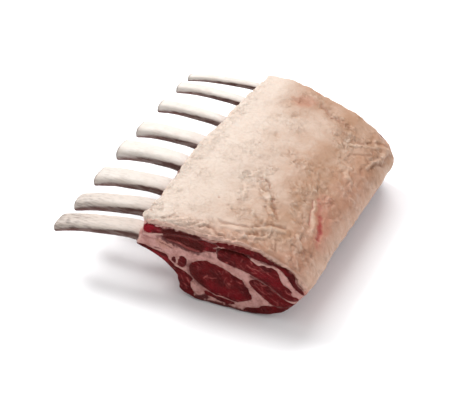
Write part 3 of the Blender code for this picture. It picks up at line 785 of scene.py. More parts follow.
@dataclass
class Outside:
    """Relief and tints of the outer surfaces, between the two cuts."""

    shape: RackShape
    ribs: tuple
    heel: float = 2.6  # how far the back swells near the loin cut
    edge_wave: float = 1.5  # how far the edge of the fat over the ribs wanders
    sunk: float = 0.3  # how far the surface may lie in from the form
    fat_sunk: float = 4.0  # and how much further on the fat

    def surface(self, section: np.ndarray, base: np.ndarray) -> Surface:
        """The surface at some points.

        Args:
            section: the points' (x, z) on the shoulder cut.
            base: the points' places in the frame, in millimetres.

        Returns:
            Heights out of the form, and tints.
        """
        result = Surface.flat(len(section))
        cap = topness(section)
        behind = ramp(base[:, 1], -50.0, 44.0) * ramp(base[:, 0], 62.0, 82.0) * ramp(base[:, 2], 4.0, 24.0)
        edge = ramp(section[:, 0], -35.0, -40.5) * ramp(section[:, 1], 42.0, 50.0)
        result.height += self.heel * behind
        result.height += self.edge_wave * edge * Noise(52).rough(base, 11.0)
        self._fat(result, base, cap)
        self._lean(result, base, 1.0 - cap)
        self._ribs(result, section, base)
        result.height = np.maximum(result.height, -self.sunk - self.fat_sunk * cap)
        return result

    def _fat(self, result: Surface, base: np.ndarray, cap: np.ndarray) -> None:
        """The lumps, folds and stains of the fat, with painted shade between its lumps and painted highlights
        on their tops.
        """
        x, y = base[:, 0], base[:, 1]
        drift = np.column_stack([Noise(k).rough(base, 9.0, 2) for k in (35, 37, 39)])
        marks = Surface.flat(len(base))
        marks.draw(FAT_MARKS, (base + 2.8 * drift)[:, :2], Noise(15).rough(base, 3.4, 2))
        # how crumpled it is: marked patches, some stray ones, and the back
        stray = ramp(Noise(33).rough(base, 22.0), -0.05, 0.42)
        rough = np.maximum(0.6 * stray, 0.5 * ramp(x, 66.0, 78.0))
        rough = np.maximum(1.1 * marks.tints[Tint.CRINKLE], rough)
        rough *= 0.35 + 0.65 * ramp(Noise(34).rough(base, 8.0, 2), -0.4, 0.25)
        rough *= 1.0 - 0.9 * marks.tints[Tint.RED]
        # its relief, from wide swells to small flakes, on axes that run aslant
        slant = np.column_stack([0.91 * x + 0.42 * y, 0.91 * y - 0.42 * x, base[:, 2]]) + 4.2 * drift
        cross = drift[:, ::-1]
        large = Noise(5).curds(slant, 5.2, (1.0, 2.0, 1.0))
        small = Noise(6).curds(slant + 2.0 * cross, 3.0, (1.0, 1.5, 1.0))
        ridges = Noise(7).creases(slant, 6.5, (1.0, 2.6, 1.0)) * ramp(Noise(10).at(base, 5.0), -0.2, 0.3)
        flakes = Noise(8).flakes(slant + 1.5 * cross, 4.6, (1.0, 2.6, 1.4))
        lumps = Noise(1).rough(base, 26.0, 2, (1.0, 1.5, 1.0))
        swell = Noise(3).rough(base, 9.0, 3, (1.0, 1.4, 1.0))
        folds = Noise(9).at(slant, 5.0, (1.0, 3.0, 1.0))
        tops = 0.62 * large + 0.38 * small
        height = 1.2 * lumps + 0.5 * swell + (0.14 + 0.5 * rough) * folds
        height += rough * (0.7 * (large - 0.7) + 0.4 * (small - 0.7) + 0.5 * ridges + 0.55 * flakes)
        result.height += cap * (height + 1.5 * marks.height)
        # its tints
        for tint in (Tint.RED, Tint.TAN, Tint.PINK, Tint.DARK, Tint.LEAN, Tint.SILVER):
            result.add(tint, cap * marks.tints[tint] * (1.25 if tint is Tint.DARK else 1.0))
        far = ramp(y, 20.0, 80.0) * ramp(x, -14.0, 14.0)
        front = ramp(y, -62.0, -84.0) * ramp(x, -34.0, 30.0)
        dried = np.maximum(ramp(x + 9.0 * lumps + 3.0 * swell, -24.0, 78.0), 0.95 * far)
        dried = dried + (1.0 - dried) * 0.25 * front
        bare = 0.4 * ramp(x + 5.0 * swell, 56.0, 80.0) * (1.0 - 0.7 * ramp(y, 0.0, 50.0))
        glint = np.maximum(ridges, 0.7 * ramp(flakes, 0.1, 0.7))
        result.add(Tint.CRINKLE, cap * (0.15 + 0.85 * rough))
        result.add(Tint.TAN, cap * np.clip(dried * (1.0 + rough * (0.5 - 0.8 * tops)), 0.0, 1.0))
        result.add(Tint.PINK, cap * bare)
        result.add(Tint.PINK, cap * 0.4 * ramp(y, -74.0, -98.0) * ramp(x, -20.0, 20.0))
        # painted shade between the lumps
        result.add(Tint.DARK, cap * 0.05 * rough * (1.0 - ramp(tops, 0.1, 0.5)))
        # painted highlight along the back, where the fat turns down
        result.add(Tint.SILVER, cap * 0.5 * ramp(x + 2.0 * swell, 78.0, 86.0))
        # painted highlights on the tops of lumps, on ridges and on flakes
        result.add(Tint.SILVER, cap * rough * np.maximum(0.4 * ramp(tops, 0.7, 1.0), 0.5 * glint))

    def _lean(self, result: Surface, base: np.ndarray, bare: np.ndarray) -> None:
        """The smooth, membrane covered meat of the side, the back and the hollow."""
        broad = Noise(21).rough(base, 12.0, 3, (1.0, 1.8, 1.0))
        grain = Noise(25).rough(base, 3.0, 2, (1.0, 2.2, 1.0))
        veil = ramp(Noise(28).rough(base, 9.0, 3, (1.0, 2.0, 1.0)), 0.0, 0.55)
        threads = Noise(31).creases(base, 5.0, (1.0, 4.5, 1.0))
        stain = ramp(Noise(29).rough(base, 8.0, 3, (1.0, 1.8, 1.0)), 0.0, 0.3) * ramp(base[:, 2], 5.0, 1.5)
        result.height += bare * (0.55 * broad + 0.2 * grain)
        result.add(Tint.PALE, bare * 0.55 * veil)
        result.add(Tint.SILVER, bare * 0.25 * threads)
        result.add(Tint.LEAN, bare * 0.8 * stain)

    def _ribs(self, result: Surface, section: np.ndarray, base: np.ndarray) -> None:
        """Ribs under the membrane of the hollow, and the collars where they leave the meat."""
        hollow = ramp(section[:, 0], -12.0, -20.0) * ramp(section[:, 1], 36.0, 33.4)
        side = ramp(section[:, 0], -38.0, -43.0) * ramp(section[:, 1], 33.0, 35.0)
        side = side * ramp(section[:, 1], 48.0, 42.0)
        gap = np.full(len(base), 9.0)
        for rib in self.ribs:
            along = (base[:, 0] - self.shape.origin[0] - self.shape.left_x) / 33.0
            middle = rib.neck_y + (rib.head_y - rib.neck_y) * np.clip(along, 0.0, 1.0)
            away = np.abs(base[:, 1] - self.shape.origin[1] - middle) / (0.5 * rib.width)
            over = 1.0 - ramp(away, 0.35, 1.25)
            result.height += hollow * (1.5 * over - 0.4) + side * 1.3 * (1.0 - ramp(away, 0.8, 1.7))
            result.add(Tint.PALE, hollow * 0.62 * over)
            result.add(Tint.PALE, side * 0.35 * (1.0 - ramp(away, 0.8, 1.6)))
            gap = np.minimum(gap, away)
        between = ramp(gap, 0.95, 1.5) * ramp(Noise(27).rough(base, 6.0, 3, (1.0, 1.6, 1.0)), -0.3, 0.25)
        result.add(Tint.LEAN, side * (0.18 + 0.6 * between))


# ---- meat -----------------------------------------------------------------------------------------
@dataclass
class Meat:
    """Everything but the ribs: each layer is lofted from one cut to the other."""

    shape: RackShape
    ribs: tuple
    fine_steps: int = 262
    coarse_steps: int = 9
    loin_heel: float = 9.0
    loin_heel_out: float = 3.0
    loin_fray: float = 0.3
    loin_calm: float = 0.35  # share of the relief that is left beside the loin cut
    loin_calm_reach: float = 16.0
    relief_start: float = 2.5  # from a cut, over which the relief begins
    cut_rim: float = 1.4  # width of the tinted rim beside a cut
    rest_heights: tuple = (1.6, 0.2)  # between these the relief is pressed flat by the floor
    drawing: CutDrawing = field(default_factory=CutDrawing)

    def __post_init__(self) -> None:
        """Works out both cuts and every column of the outer surface."""
        heel = {"heel": self.loin_heel, "heel_out": self.loin_heel_out, "fray": self.loin_fray}
        self.faces = (CutFace(self.drawing, 3), CutFace(self.drawing, 5, **heel))
        self.rim = np.unique(self.drawing.border())
        self.rim_row = {v: k for k, v in enumerate(self.rim.tolist())}
        self.out = self._outward()
        self.ends = tuple(self._cap(face, share) for face, share in zip(self.faces, (0.0, 1.0)))
        self._outer_columns()

    def _outward(self) -> np.ndarray:
        """Direction out of the section at every point of the drawing, from the nearest of its rim."""
        points = self.drawing.points
        edges = self.drawing.border()
        run = points[edges[:, 1]] - points[edges[:, 0]]
        side = np.stack([run[:, 1], -run[:, 0]], axis=1)
        out = np.zeros_like(points)
        np.add.at(out, edges[:, 0], side)
        np.add.at(out, edges[:, 1], side)
        out = out[self.rim] / np.linalg.norm(out[self.rim], axis=1, keepdims=True)
        return out[nearest(points, points[self.rim])[0]]

    def _cap(self, face: CutFace, share: float) -> np.ndarray:
        """Places in the frame of every point of the drawing, on one cut."""
        points = self.drawing.points - self.out * face.inset[:, None]
        places = self.shape.place(points[:, 0], points[:, 1], np.full(len(points), share))
        places[:, 1] += face.surface.height * (1.0 if share else -1.0)
        return places

    def _outer_columns(self) -> None:
        """Places and tints along the meat, of each point of the rim."""
        rim, count = self.drawing.points[self.rim], self.fine_steps
        section = np.repeat(rim, count, axis=0)
        share = np.tile(np.linspace(0.0, 1.0, count), len(rim))
        first = share < 0.5

        def from_cuts(values: Iterable[np.ndarray]) -> np.ndarray:
            """A value of the nearer cut for every place, from the values of both cuts."""
            return np.where(first, *(np.repeat(value[self.rim], count) for value in values))

        base, front, back = (
            self.shape.place(section[:, 0], section[:, 1], at)
            for at in (share, np.zeros_like(share), np.ones_like(share))
        )
        near = np.minimum(base[:, 1] - front[:, 1], back[:, 1] - base[:, 1])
        fillet = from_cuts(face.radius for face in self.faces)
        wander = from_cuts(face.wander for face in self.faces)
        raised = from_cuts(face.surface.height for face in self.faces)
        closeness = (1.0 - np.minimum(near / fillet, 1.0)) ** 2
        calm = self.loin_calm + (1.0 - self.loin_calm) * ramp(near, 0.0, self.loin_calm_reach)
        outside = Outside(self.shape, self.ribs).surface(section, base)
        height = outside.height * np.where(first, 1.0, calm) * ramp(near, 0.0, self.relief_start)
        height -= (self.faces[0].roll * fillet + wander) * closeness
        resting = ramp(section[:, 1], *self.rest_heights)
        height = np.minimum(height, np.where(resting > 0.0, height * (1.0 - resting), np.inf))
        base[:, ::2] += np.repeat(self.out[self.rim], count, axis=0) * height[:, None]
        base[:, 1] -= np.where(first, 1.0, -1.0) * raised * closeness
        outside.add(Tint.CUT, np.clip(1.0 - near / self.cut_rim, 0.0, 1.0))
        self.columns = base.reshape(len(rim), count, 3)
        self.column_tints = {t: v.reshape(len(rim), count) for t, v in outside.tints.items()}

    def layer(self, number: int) -> bpy.types.Object:
        """One layer as a closed mesh, with its tints."""
        triangles = self.drawing.triangles[self.drawing.owner == number]
        used = np.unique(triangles)
        row = {v: k for k, v in enumerate(used.tolist())}
        numbered = np.searchsorted(used, triangles)
        places = [end[used] for end in self.ends]
        tints = {t: [f.surface.tints[t][used] for f in self.faces] for t in Tint}
        faces = numbered.tolist() + (numbered[:, ::-1] + len(used)).tolist()
        total, columns = 2 * len(used), {}
        edges = self.drawing.border(number).tolist()
        for v in sorted({v for edge in edges for v in edge}):
            places.append(self._stations(v))
            for tint in Tint:
                tints[tint].append(self._station_tints(v, tint))
            middle = list(range(total, total + len(places[-1])))
            total += len(middle)
            columns[v] = [row[v], *middle, row[v] + len(used)]
        for a, b in edges:
            faces += zipped(columns[a], columns[b])
        name = f"{(*REGIONS, SEAM)[number].node}_skin"
        mesh = bpy.data.meshes.new(name)
        mesh.from_pydata((np.vstack(places) * MM).tolist(), [], faces)
        for tint in Tint:
            layer = mesh.attributes.new(tint.value, "FLOAT", "POINT")
            layer.data.foreach_set("value", np.concatenate(tints[tint]).astype(np.float32))
        mesh.polygons.foreach_set("use_smooth", [True] * len(mesh.polygons))
        mesh.update()
        return placed(name, mesh)

    def _stations(self, v: int) -> np.ndarray:
        """Places between the cuts along one point of a layer's border."""
        if v in self.rim_row:
            return self.columns[self.rim_row[v]][1:-1]
        share = np.linspace(0.0, 1.0, self.coarse_steps)[1:-1]
        x, z = self.drawing.points[v]
        return self.shape.place(np.full(len(share), x), np.full(len(share), z), share)

    def _station_tints(self, v: int, tint: Tint) -> np.ndarray:
        """Tints between the cuts along one point of a layer's border."""
        if v in self.rim_row:
            return self.column_tints[tint][self.rim_row[v]][1:-1]
        return np.zeros(self.coarse_steps - 2)


def zipped(a: list, b: list) -> list:
    """Faces between two columns of vertices, which may have different numbers of them.

    Args:
        a: the first column, from the shoulder cut to the loin cut.
        b: the column beside it.

    Returns:
        Quads where the columns match, and triangles where they don't.
    """
    if len(a) == len(b):
        return [(a[k], a[k + 1], b[k + 1], b[k]) for k in range(len(a) - 1)]
    faces, i, j = [], 0, 0
    while i < len(a) - 1 or j < len(b) - 1:
        a_first = (i + 1) / (len(a) - 1) <= (j + 1) / (len(b) - 1)
        if i < len(a) - 1 and (j == len(b) - 1 or a_first):
            faces.append((a[i], a[i + 1], b[j]))
            i += 1
        else:
            faces.append((a[i], b[j + 1], b[j]))
            j += 1
    return faces


# ---- node trees ---------------------------------------------------------------------------------
class Value:
    """What a node gives, so that sums on numbers can be written as sums."""

    def __init__(self, graph: "Graph", socket: bpy.types.NodeSocket) -> None:
        """Args: graph: what the node is in. socket: the node's output."""
        self.graph = graph
        self.socket = socket

    def __add__(self, other: "Value | float") -> "Value":
        """The sum."""
        return self.graph.math("ADD", self, other)

    def __sub__(self, other: "Value | float") -> "Value":
        """The difference."""
        return self.graph.math("SUBTRACT", self, other)

    def __rsub__(self, other: float) -> "Value":
        """The difference from a constant."""
        return self.graph.math("SUBTRACT", other, self)

    def __mul__(self, other: "Value | float") -> "Value":
        """The product."""
        return self.graph.math("MULTIPLY", self, other)

    def __rtruediv__(self, other: float) -> "Value":
        """A constant divided by it."""
        return self.graph.math("DIVIDE", other, self)

    def __abs__(self) -> "Value":
        """The size of a number, without its sign."""
        return self.graph.math("ABSOLUTE", self)

    def beside(self, name: str) -> "Value":
        """Another output of the same node."""
        return Value(self.graph, self.socket.node.outputs[name])


class Graph:
    """Adds nodes to a tree and joins them up."""

    def __init__(self, tree: bpy.types.NodeTree) -> None:
        """Args: tree: the tree that nodes are added to."""
        self.tree = tree

    def put(self, socket: bpy.types.NodeSocket, value: object) -> None:
        """Joins a value to a socket, or sets the socket to a constant."""
        if isinstance(value, Value):
            self.tree.links.new(value.socket, socket)
        else:
            socket.default_value = value

    def add(self, kind: str, inputs: dict | None = None, **settings: object) -> bpy.types.Node:
        """Adds one node.

        Args:
            kind: the node's type.
            inputs: constants or values, by the name or number of the input.
            settings: the node's own settings.

        Returns:
            The node.
        """
        node = self.tree.nodes.new(kind)
        for name, value in settings.items():
            setattr(node, name, value)
        for key, value in (inputs or {}).items():
            self.put(node.inputs[key], value)
        return node

    def get(self, kind: str, inputs: dict | None = None, output: int | str = 0, **settings: object) -> Value:
        """One output of a new node."""
        return Value(self, self.add(kind, inputs, **settings).outputs[output])

    def math(self, operation: str, *values: object) -> Value:
        """One sum on numbers."""
        return self.get("ShaderNodeMath", dict(enumerate(values)), operation=operation)

    def vector(self, operation: str, *values: object) -> Value:
        """One sum on vectors."""
        return self.get("ShaderNodeVectorMath", dict(enumerate(values)), operation=operation)

    def scaled(self, vector: object, amount: object) -> Value:
        """A vector made longer or shorter."""
        return self.get("ShaderNodeVectorMath", {0: vector, "Scale": amount}, operation="SCALE")

    def parts(self, vector: Value) -> tuple[Value, ...]:
        """The three parts of a vector."""
        node = self.add("ShaderNodeSeparateXYZ", {0: vector})
        return tuple(Value(self, output) for output in node.outputs)

    def spread(self, value: Value, start: object, end: object, low: float = 0.0, high: float = 1.0) -> Value:
        """A number moved from one range to another, with a soft start and end."""
        limits = {"Value": value, "From Min": start, "From Max": end, "To Min": low, "To Max": high}
        return self.get("ShaderNodeMapRange", limits, interpolation_type="SMOOTHSTEP")

    def noise(self, place: Value, scale: object, detail: float, roughness: float = 0.5) -> Value:
        """Cloudy noise, about 0.5 on the whole."""
        inputs = {"Vector": place, "Scale": scale, "Detail": detail, "Roughness": roughness}
        return self.get("ShaderNodeTexNoise", inputs)

    def layers(self, colour: object, *coats: tuple) -> Value:
        """A colour with coats over it, each with its share and its colour."""
        for share, coat in coats:
            colour = self.get("ShaderNodeMix", {0: share, 6: colour, 7: coat}, 2, data_type="RGBA")
        return colour

    def mask(self, name: Tint | str) -> Value:
        """A mask that the mesh carries."""
        label = name.value if isinstance(name, Tint) else name
        return self.get("ShaderNodeAttribute", output="Fac", attribute_name=label)


def enabled(sockets: Iterable, name: str) -> bpy.types.NodeSocket:
    """The socket of this name that the node's settings leave in use."""
    return next(socket for socket in sockets if socket.name == name and socket.enabled)


def rgb(red: float, green: float, blue: float) -> tuple:
    """A colour as it looks on a screen, 0 to 255, for a colour socket."""
    values = (value / 255.0 for value in (red, green, blue))
    return *(v / 12.92 if v <= 0.04045 else ((v + 0.055) / 1.055) ** 2.4 for v in values), 1.0


def open_group(name: str, inputs: dict, outputs: dict, kind: str = "ShaderNodeTree") -> tuple:
    """A new node group.

    Args:
        name: its name.
        inputs: by the name of each input, its value at first, or its socket type if it has none.
        outputs: socket type of each output, by its name.
        kind: type of its tree.

    Returns:
        Its graph, its inputs' values by name, and its outputs' sockets.
    """
    tree = bpy.data.node_groups.new(name, kind)
    for label, value in inputs.items():
        socket_type = {float: "NodeSocketFloat", int: "NodeSocketInt"}.get(type(value), value)
        socket = tree.interface.new_socket(label, in_out="INPUT", socket_type=socket_type)
        if socket_type != value:
            socket.default_value = value
    for label, socket_type in outputs.items():
        tree.interface.new_socket(label, in_out="OUTPUT", socket_type=socket_type)
    graph = Graph(tree)
    start = {output.name: Value(graph, output) for output in graph.add("NodeGroupInput").outputs}
    return graph, start, graph.add("NodeGroupOutput").inputs


def mottle_group() -> bpy.types.NodeTree:
    """Blotches with soft edges: 0 to 1 over the surface."""
    inputs = {"Place": "NodeSocketVector", "Size": 5.0, "Low": 0.4, "High": 0.65}
    g, start, end = open_group("mottle", inputs, {"Value": "NodeSocketFloat"})
    noise = g.noise(start["Place"], 1.0 / start["Size"], 4.0, 0.55)
    g.put(end["Value"], g.spread(noise, start["Low"], start["High"]))
    return g.tree


def fibre_group() -> bpy.types.NodeTree:
    """Cut muscle: a height, the gaps between bundles of fibres, and thin streaks along a slant."""
    inputs = {"Place": "NodeSocketVector", "Size": 1.4, "Slant": -0.5}
    outputs = dict.fromkeys(("Height", "Gap", "Streak"), "NodeSocketFloat")
    g, start, end = open_group("fibre_bundles", inputs, outputs)
    warp = g.noise(start["Place"], 0.35, 2.0)
    drift = warp.beside("Color")
    place = g.vector("ADD", start["Place"], g.scaled(drift, 2.6))
    bundles = {"Vector": place, "Scale": 1.0 / start["Size"], "Randomness": 1.0}
    cells = g.get("ShaderNodeTexVoronoi", bundles, "Distance", feature="DISTANCE_TO_EDGE")
    turn = {"Vector": start["Place"], "Angle": start["Slant"]}
    turned = g.get("ShaderNodeVectorRotate", turn, rotation_type="Y_AXIS")
    drawn = g.vector("MULTIPLY", g.vector("ADD", turned, g.scaled(drift, 1.6)), (0.16, 0.3, 1.0))
    lines = g.noise(drawn, 1.15, 4.0, 0.65)
    grain = g.noise(place, 1.6, 5.0, 0.6)
    g.put(end["Height"], g.spread(cells, 0.0, 0.32) + grain * 0.9 + lines * 1.2)
    g.put(end["Gap"], g.spread(cells, 0.0, 0.09, 1.0, 0.0) * g.spread(warp, 0.45, 0.62))
    g.put(end["Streak"], g.spread(lines, 0.56, 0.70))
    return g.tree


def skin_group() -> bpy.types.NodeTree:
    """Fine creases and pores of fat: a height and a mask of the creases."""
    outputs = dict.fromkeys(("Height", "Crease"), "NodeSocketFloat")
    g, start, end = open_group("fat_skin", {"Place": "NodeSocketVector", "Size": 3.0}, outputs)
    drift = g.noise(start["Place"], 0.16, 3.0).beside("Color")
    place = g.vector("ADD", start["Place"], g.scaled(drift, 6.0))
    scale = 1.0 / start["Size"]
    broad = g.noise(place, scale, 6.0, 0.6)
    crease = g.spread(abs(broad - 0.5), 0.0, 0.045, 1.0, 0.0)
    g.put(end["Height"], broad - crease * 0.16 + g.noise(place, scale * 5.0, 3.0) * 0.13)
    g.put(end["Crease"], crease)
    return g.tree


@dataclass(frozen=True)
class Effects:
    """Node groups that the finishes share."""

    mottle: bpy.types.NodeTree
    fibre: bpy.types.NodeTree
    skin: bpy.types.NodeTree

    @classmethod
    def make(cls) -> "Effects":
        """Builds the groups."""
        return cls(mottle_group(), fibre_group(), skin_group())


# ---- finishes -----------------------------------------------------------------------------------------
@dataclass(frozen=True)
class Finish:
    """What every finish shares; each kind of surface says how it is painted."""

    effects: Effects
    roughness: tuple = (0.4, 0.6)  # where the dull mask is 0, and where it is 1
    specular: float = 0.2
    depth: float = 0.5  # millimetres of relief for a height of 1
    glow: float = 0.1  # weight of the light that the surface lets in
    glow_radius: tuple = (0.9, 0.4, 0.3)
    glow_scale: float = 0.002

    def material(self, name: str) -> bpy.types.Material:
        """Builds the material."""
        made = bpy.data.materials.new(name)
        made.use_nodes = True
        shader = next(n for n in made.node_tree.nodes if n.type == "BSDF_PRINCIPLED").inputs
        g = Graph(made.node_tree)
        place = g.scaled(g.get("ShaderNodeTexCoord", output="Object"), 1.0 / MM)
        colour, dull, height = self.paint(g, place)
        g.put(shader["Base Color"], colour)
        g.put(shader["Roughness"], g.spread(dull, 0.0, 1.0, *self.roughness))
        shader["Specular IOR Level"].default_value = self.specular
        shader["Subsurface Weight"].default_value = self.glow
        shader["Subsurface Radius"].default_value = self.glow_radius
        shader["Subsurface Scale"].default_value = self.glow_scale
        bump = {"Height": height, "Strength": 1.0, "Distance": self.depth * MM}
        g.put(shader["Normal"], g.get("ShaderNodeBump", bump))
        return made

    def paint(self, g: Graph, place: Value) -> tuple[Value, Value, Value]:
        """Colour, dull mask and height of the surface, at a place in millimetres."""
        raise NotImplementedError

    def mottle(self, g: Graph, place: Value, size: float, low: float = 0.4, high: float = 0.65) -> Value:
        """Blotches of this size, from the shared group."""
        inputs = {"Place": place, "Size": size, "Low": low, "High": high}
        return g.get("ShaderNodeGroup", inputs, node_tree=self.effects.mottle)


@dataclass(frozen=True)
class FatFinish(Finish):
    """Fat with a thin dry skin: cream, tan towards the back, pink where it is thin."""

    roughness: tuple = (0.38, 0.58)
    specular: float = 0.3
    depth: float = 0.45
    glow: float = 0.12
    glow_radius: tuple = (0.9, 0.45, 0.3)
    cream: tuple = rgb(190, 175, 163)
    tan: tuple = rgb(151, 114, 88)
    pink: tuple = rgb(172, 108, 92)
    red: tuple = rgb(132, 30, 28)
    # brown paints meat stains and painted shade in creases and hollows; crease paints speckles and painted
    # shade in fine creases
    brown: tuple = rgb(128, 82, 58)
    crease: tuple = rgb(150, 114, 92)
    rim: tuple = rgb(206, 166, 150)
    highlight: tuple = rgb(218, 196, 178)

    def paint(self, g: Graph, place: Value) -> tuple[Value, Value, Value]:
        """Colour, dull mask and height."""
        blotch = self.mottle(g, place, 14.0, 0.3, 0.7)
        speckle = self.mottle(g, place, 1.8, 0.46, 0.72)
        skin = g.get("ShaderNodeGroup", {"Place": place, "Size": 3.4}, node_tree=self.effects.skin)
        colour = g.layers(
            self.cream,
            (g.mask(Tint.TAN) * g.spread(blotch, 0.0, 1.0, 0.86, 1.06), self.tan),
            (blotch * 0.07, self.tan),
            (g.mask(Tint.PINK) * 0.6, self.pink),
            (speckle * 0.16, self.crease),
            # painted shade in the fine creases of the skin
            (skin.beside("Crease") * 0.10, self.crease),
            # painted shade in creases, pits and hollows
            (g.mask(Tint.DARK), self.brown),
            (g.mask(Tint.LEAN) * 0.9, self.brown),
            # painted highlights on ridges and lump tops, and pale membrane
            (g.mask(Tint.SILVER) * 0.55, self.highlight),
            (g.mask(Tint.RED) * g.spread(speckle, 0.0, 1.0, 1.0, 0.62), self.red),
            (g.mask(Tint.CUT) * 0.6, self.rim),
        )
        return colour, blotch, skin * (g.mask(Tint.CRINKLE) * 2.2 + 0.5)


@dataclass(frozen=True)
class SeamFinish(Finish):
    """Fat and membrane between the muscles: greyish pink, stained by the meat."""

    roughness: tuple = (0.34, 0.52)
    specular: float = 0.22
    depth: float = 0.8
    glow_radius: tuple = (0.9, 0.35, 0.25)
    pale: tuple = rgb(200, 150, 142)
    stained: tuple = rgb(146, 88, 80)
    dried: tuple = rgb(172, 118, 96)
    lean: tuple = rgb(82, 20, 17)
    silver: tuple = rgb(206, 166, 154)

    def paint(self, g: Graph, place: Value) -> tuple[Value, Value, Value]:
        """Colour, dull mask and height."""
        blotch = self.mottle(g, place, 6.0)
        speckle = self.mottle(g, place, 1.7, 0.48)
        edge = g.mask(Tint.EDGE)
        colour = g.layers(
            self.pale,
            (blotch * 0.55, self.stained),
            (speckle * 0.22, self.stained),
            (edge * 0.3, self.stained),
            (edge * g.spread(speckle, 0.0, 1.0, 0.0, 0.6), self.lean),
            (g.mask(Tint.TAN), self.dried),
            (g.mask(Tint.PALE) * 0.5, self.silver),
            (g.mask(Tint.LEAN), self.lean),
            # painted shade in creases and along the foot of the cut
            (g.mask(Tint.DARK), self.lean),
            (g.mask(Tint.SILVER), self.silver),
        )
        skin = g.get("ShaderNodeGroup", {"Place": place, "Size": 2.0}, node_tree=self.effects.skin)
        return colour, blotch, skin


@dataclass(frozen=True)
class LeanFinish(Finish):
    """Raw lean meat: dark red, moist, with pale marbling and silverskin."""

    roughness: tuple = (0.34, 0.5)
    specular: float = 0.06
    depth: float = 0.28
    glow: float = 0.06
    glow_radius: tuple = (1.0, 0.2, 0.15)
    glow_scale: float = 0.0015
    base: tuple = rgb(96, 10, 15)
    deep: tuple = rgb(62, 6, 9)
    brown: tuple = rgb(64, 14, 9)
    bright: tuple = rgb(134, 16, 30)
    marbling: tuple = rgb(168, 90, 86)
    silver: tuple = rgb(190, 138, 130)
    slant: float = -0.55  # of the fibres, in radians
    streaks: float = 0.68

    def paint(self, g: Graph, place: Value) -> tuple[Value, Value, Value]:
        """Colour, dull mask and height."""
        patch = self.mottle(g, place, 3.1, 0.45, 0.75)
        inputs = {"Place": place, "Size": 1.5, "Slant": self.slant}
        fibre = g.get("ShaderNodeGroup", inputs, node_tree=self.effects.fibre)
        colour = g.layers(
            self.base,
            (self.mottle(g, place, 7.5, 0.38, 0.62) * 0.7, self.deep),
            (patch * 0.35, self.brown),
            (fibre.beside("Streak") * self.streaks * g.mask(Tint.CUT), self.marbling),
            (fibre.beside("Gap") * 0.12, self.marbling),
            (g.mask(Tint.EDGE) * g.spread(patch, 0.0, 1.0, 0.0, 0.35), self.marbling),
            (g.mask(Tint.BRIGHT), self.bright),
            # painted shade in grooves and where the meat lies back under the fat, and darker meat
            (g.mask(Tint.DARK) * 0.85, self.brown),
            (g.mask(Tint.PALE) * g.spread(patch, 0.0, 1.0, 1.0, 0.5), self.marbling),
            (g.mask(Tint.SILVER), self.silver),
        )
        return colour, patch, fibre


@dataclass(frozen=True)
class BoneFinish(Finish):
    """Scraped bone: off white, with painted shade and grey-brown shreds of membrane low on its sides."""

    roughness: tuple = (0.42, 0.6)
    depth: float = 0.055
    glow: float = 0.08
    glow_radius: tuple = (0.8, 0.5, 0.35)
    ivory: tuple = rgb(200, 193, 186)
    stain: tuple = rgb(170, 148, 136)
    dull: tuple = rgb(184, 172, 163)
    # painted shade on the lower, front-facing side and at the rim of the tip, mixed with shreds of membrane
    shade_and_shreds: tuple = rgb(66, 50, 43)
    blush: tuple = rgb(112, 58, 54)
    marrow: tuple = rgb(98, 44, 34)
    membrane: tuple = rgb(168, 106, 96)

    def paint(self, g: Graph, place: Value) -> tuple[Value, Value, Value]:
        """Colour, dull mask and height."""
        drawn = g.vector("MULTIPLY", place, (0.22, 1.0, 1.0))
        blotch = self.mottle(g, place, 8.0)
        shred = self.mottle(g, drawn, 2.4, 0.36, 0.6)
        fine = self.mottle(g, drawn, 1.3, 0.36, 0.66)
        low, tip, dull, along = (g.mask(name) for name in ("low", "tip", "dull", "along"))
        inner = g.spread(along, 0.70, 0.80)
        # painted shade, with shreds of membrane in it: the lower, front-facing side, deepening towards the
        # meat
        ragged = low + (fine - 0.5) * 0.36 + dull * g.spread(tip, 0.0, 1.0, 0.1, 0.42)
        # painted shade on the rounded rim of the sawn tip
        tip_rim_shade = g.spread(along, 0.0, 0.026, 0.8, 0.0) * g.spread(fine, 0.0, 1.0, 0.5, 1.0)
        shade_and_shred_cover = g.math("MAXIMUM", g.spread(ragged, 0.0, 1.0) * g.spread(shred, 0.0, 1.0, 0.75, 1.0), tip_rim_shade)
        spongy = g.layers(self.marrow, (g.spread(fine, 0.0, 1.0, 0.0, 0.55), self.dull))
        colour = g.layers(
            self.ivory,
            (blotch * 0.16, self.stain),
            (dull, self.dull),
            (inner * 0.7, self.membrane),
            (shade_and_shred_cover * (1.0 - inner * 0.85), self.shade_and_shreds),
            (low * g.spread(tip, 0.0, 1.0, 0.25, 0.5), self.blush),
            (g.mask("core") * 0.85, spongy),
        )
        return colour, blotch, shred


# ---- ribs --------------------------------------------------------------------------------------------
RIB_ARCH = pairs(
    -103.3, 34, -94, 36.4, -83, 37.9, -69, 38.9, -56, 39.7, -46.5, 39.4, -39, 37.2, -31, 32.2, -23, 23.9,
    -16, 14.4,
)


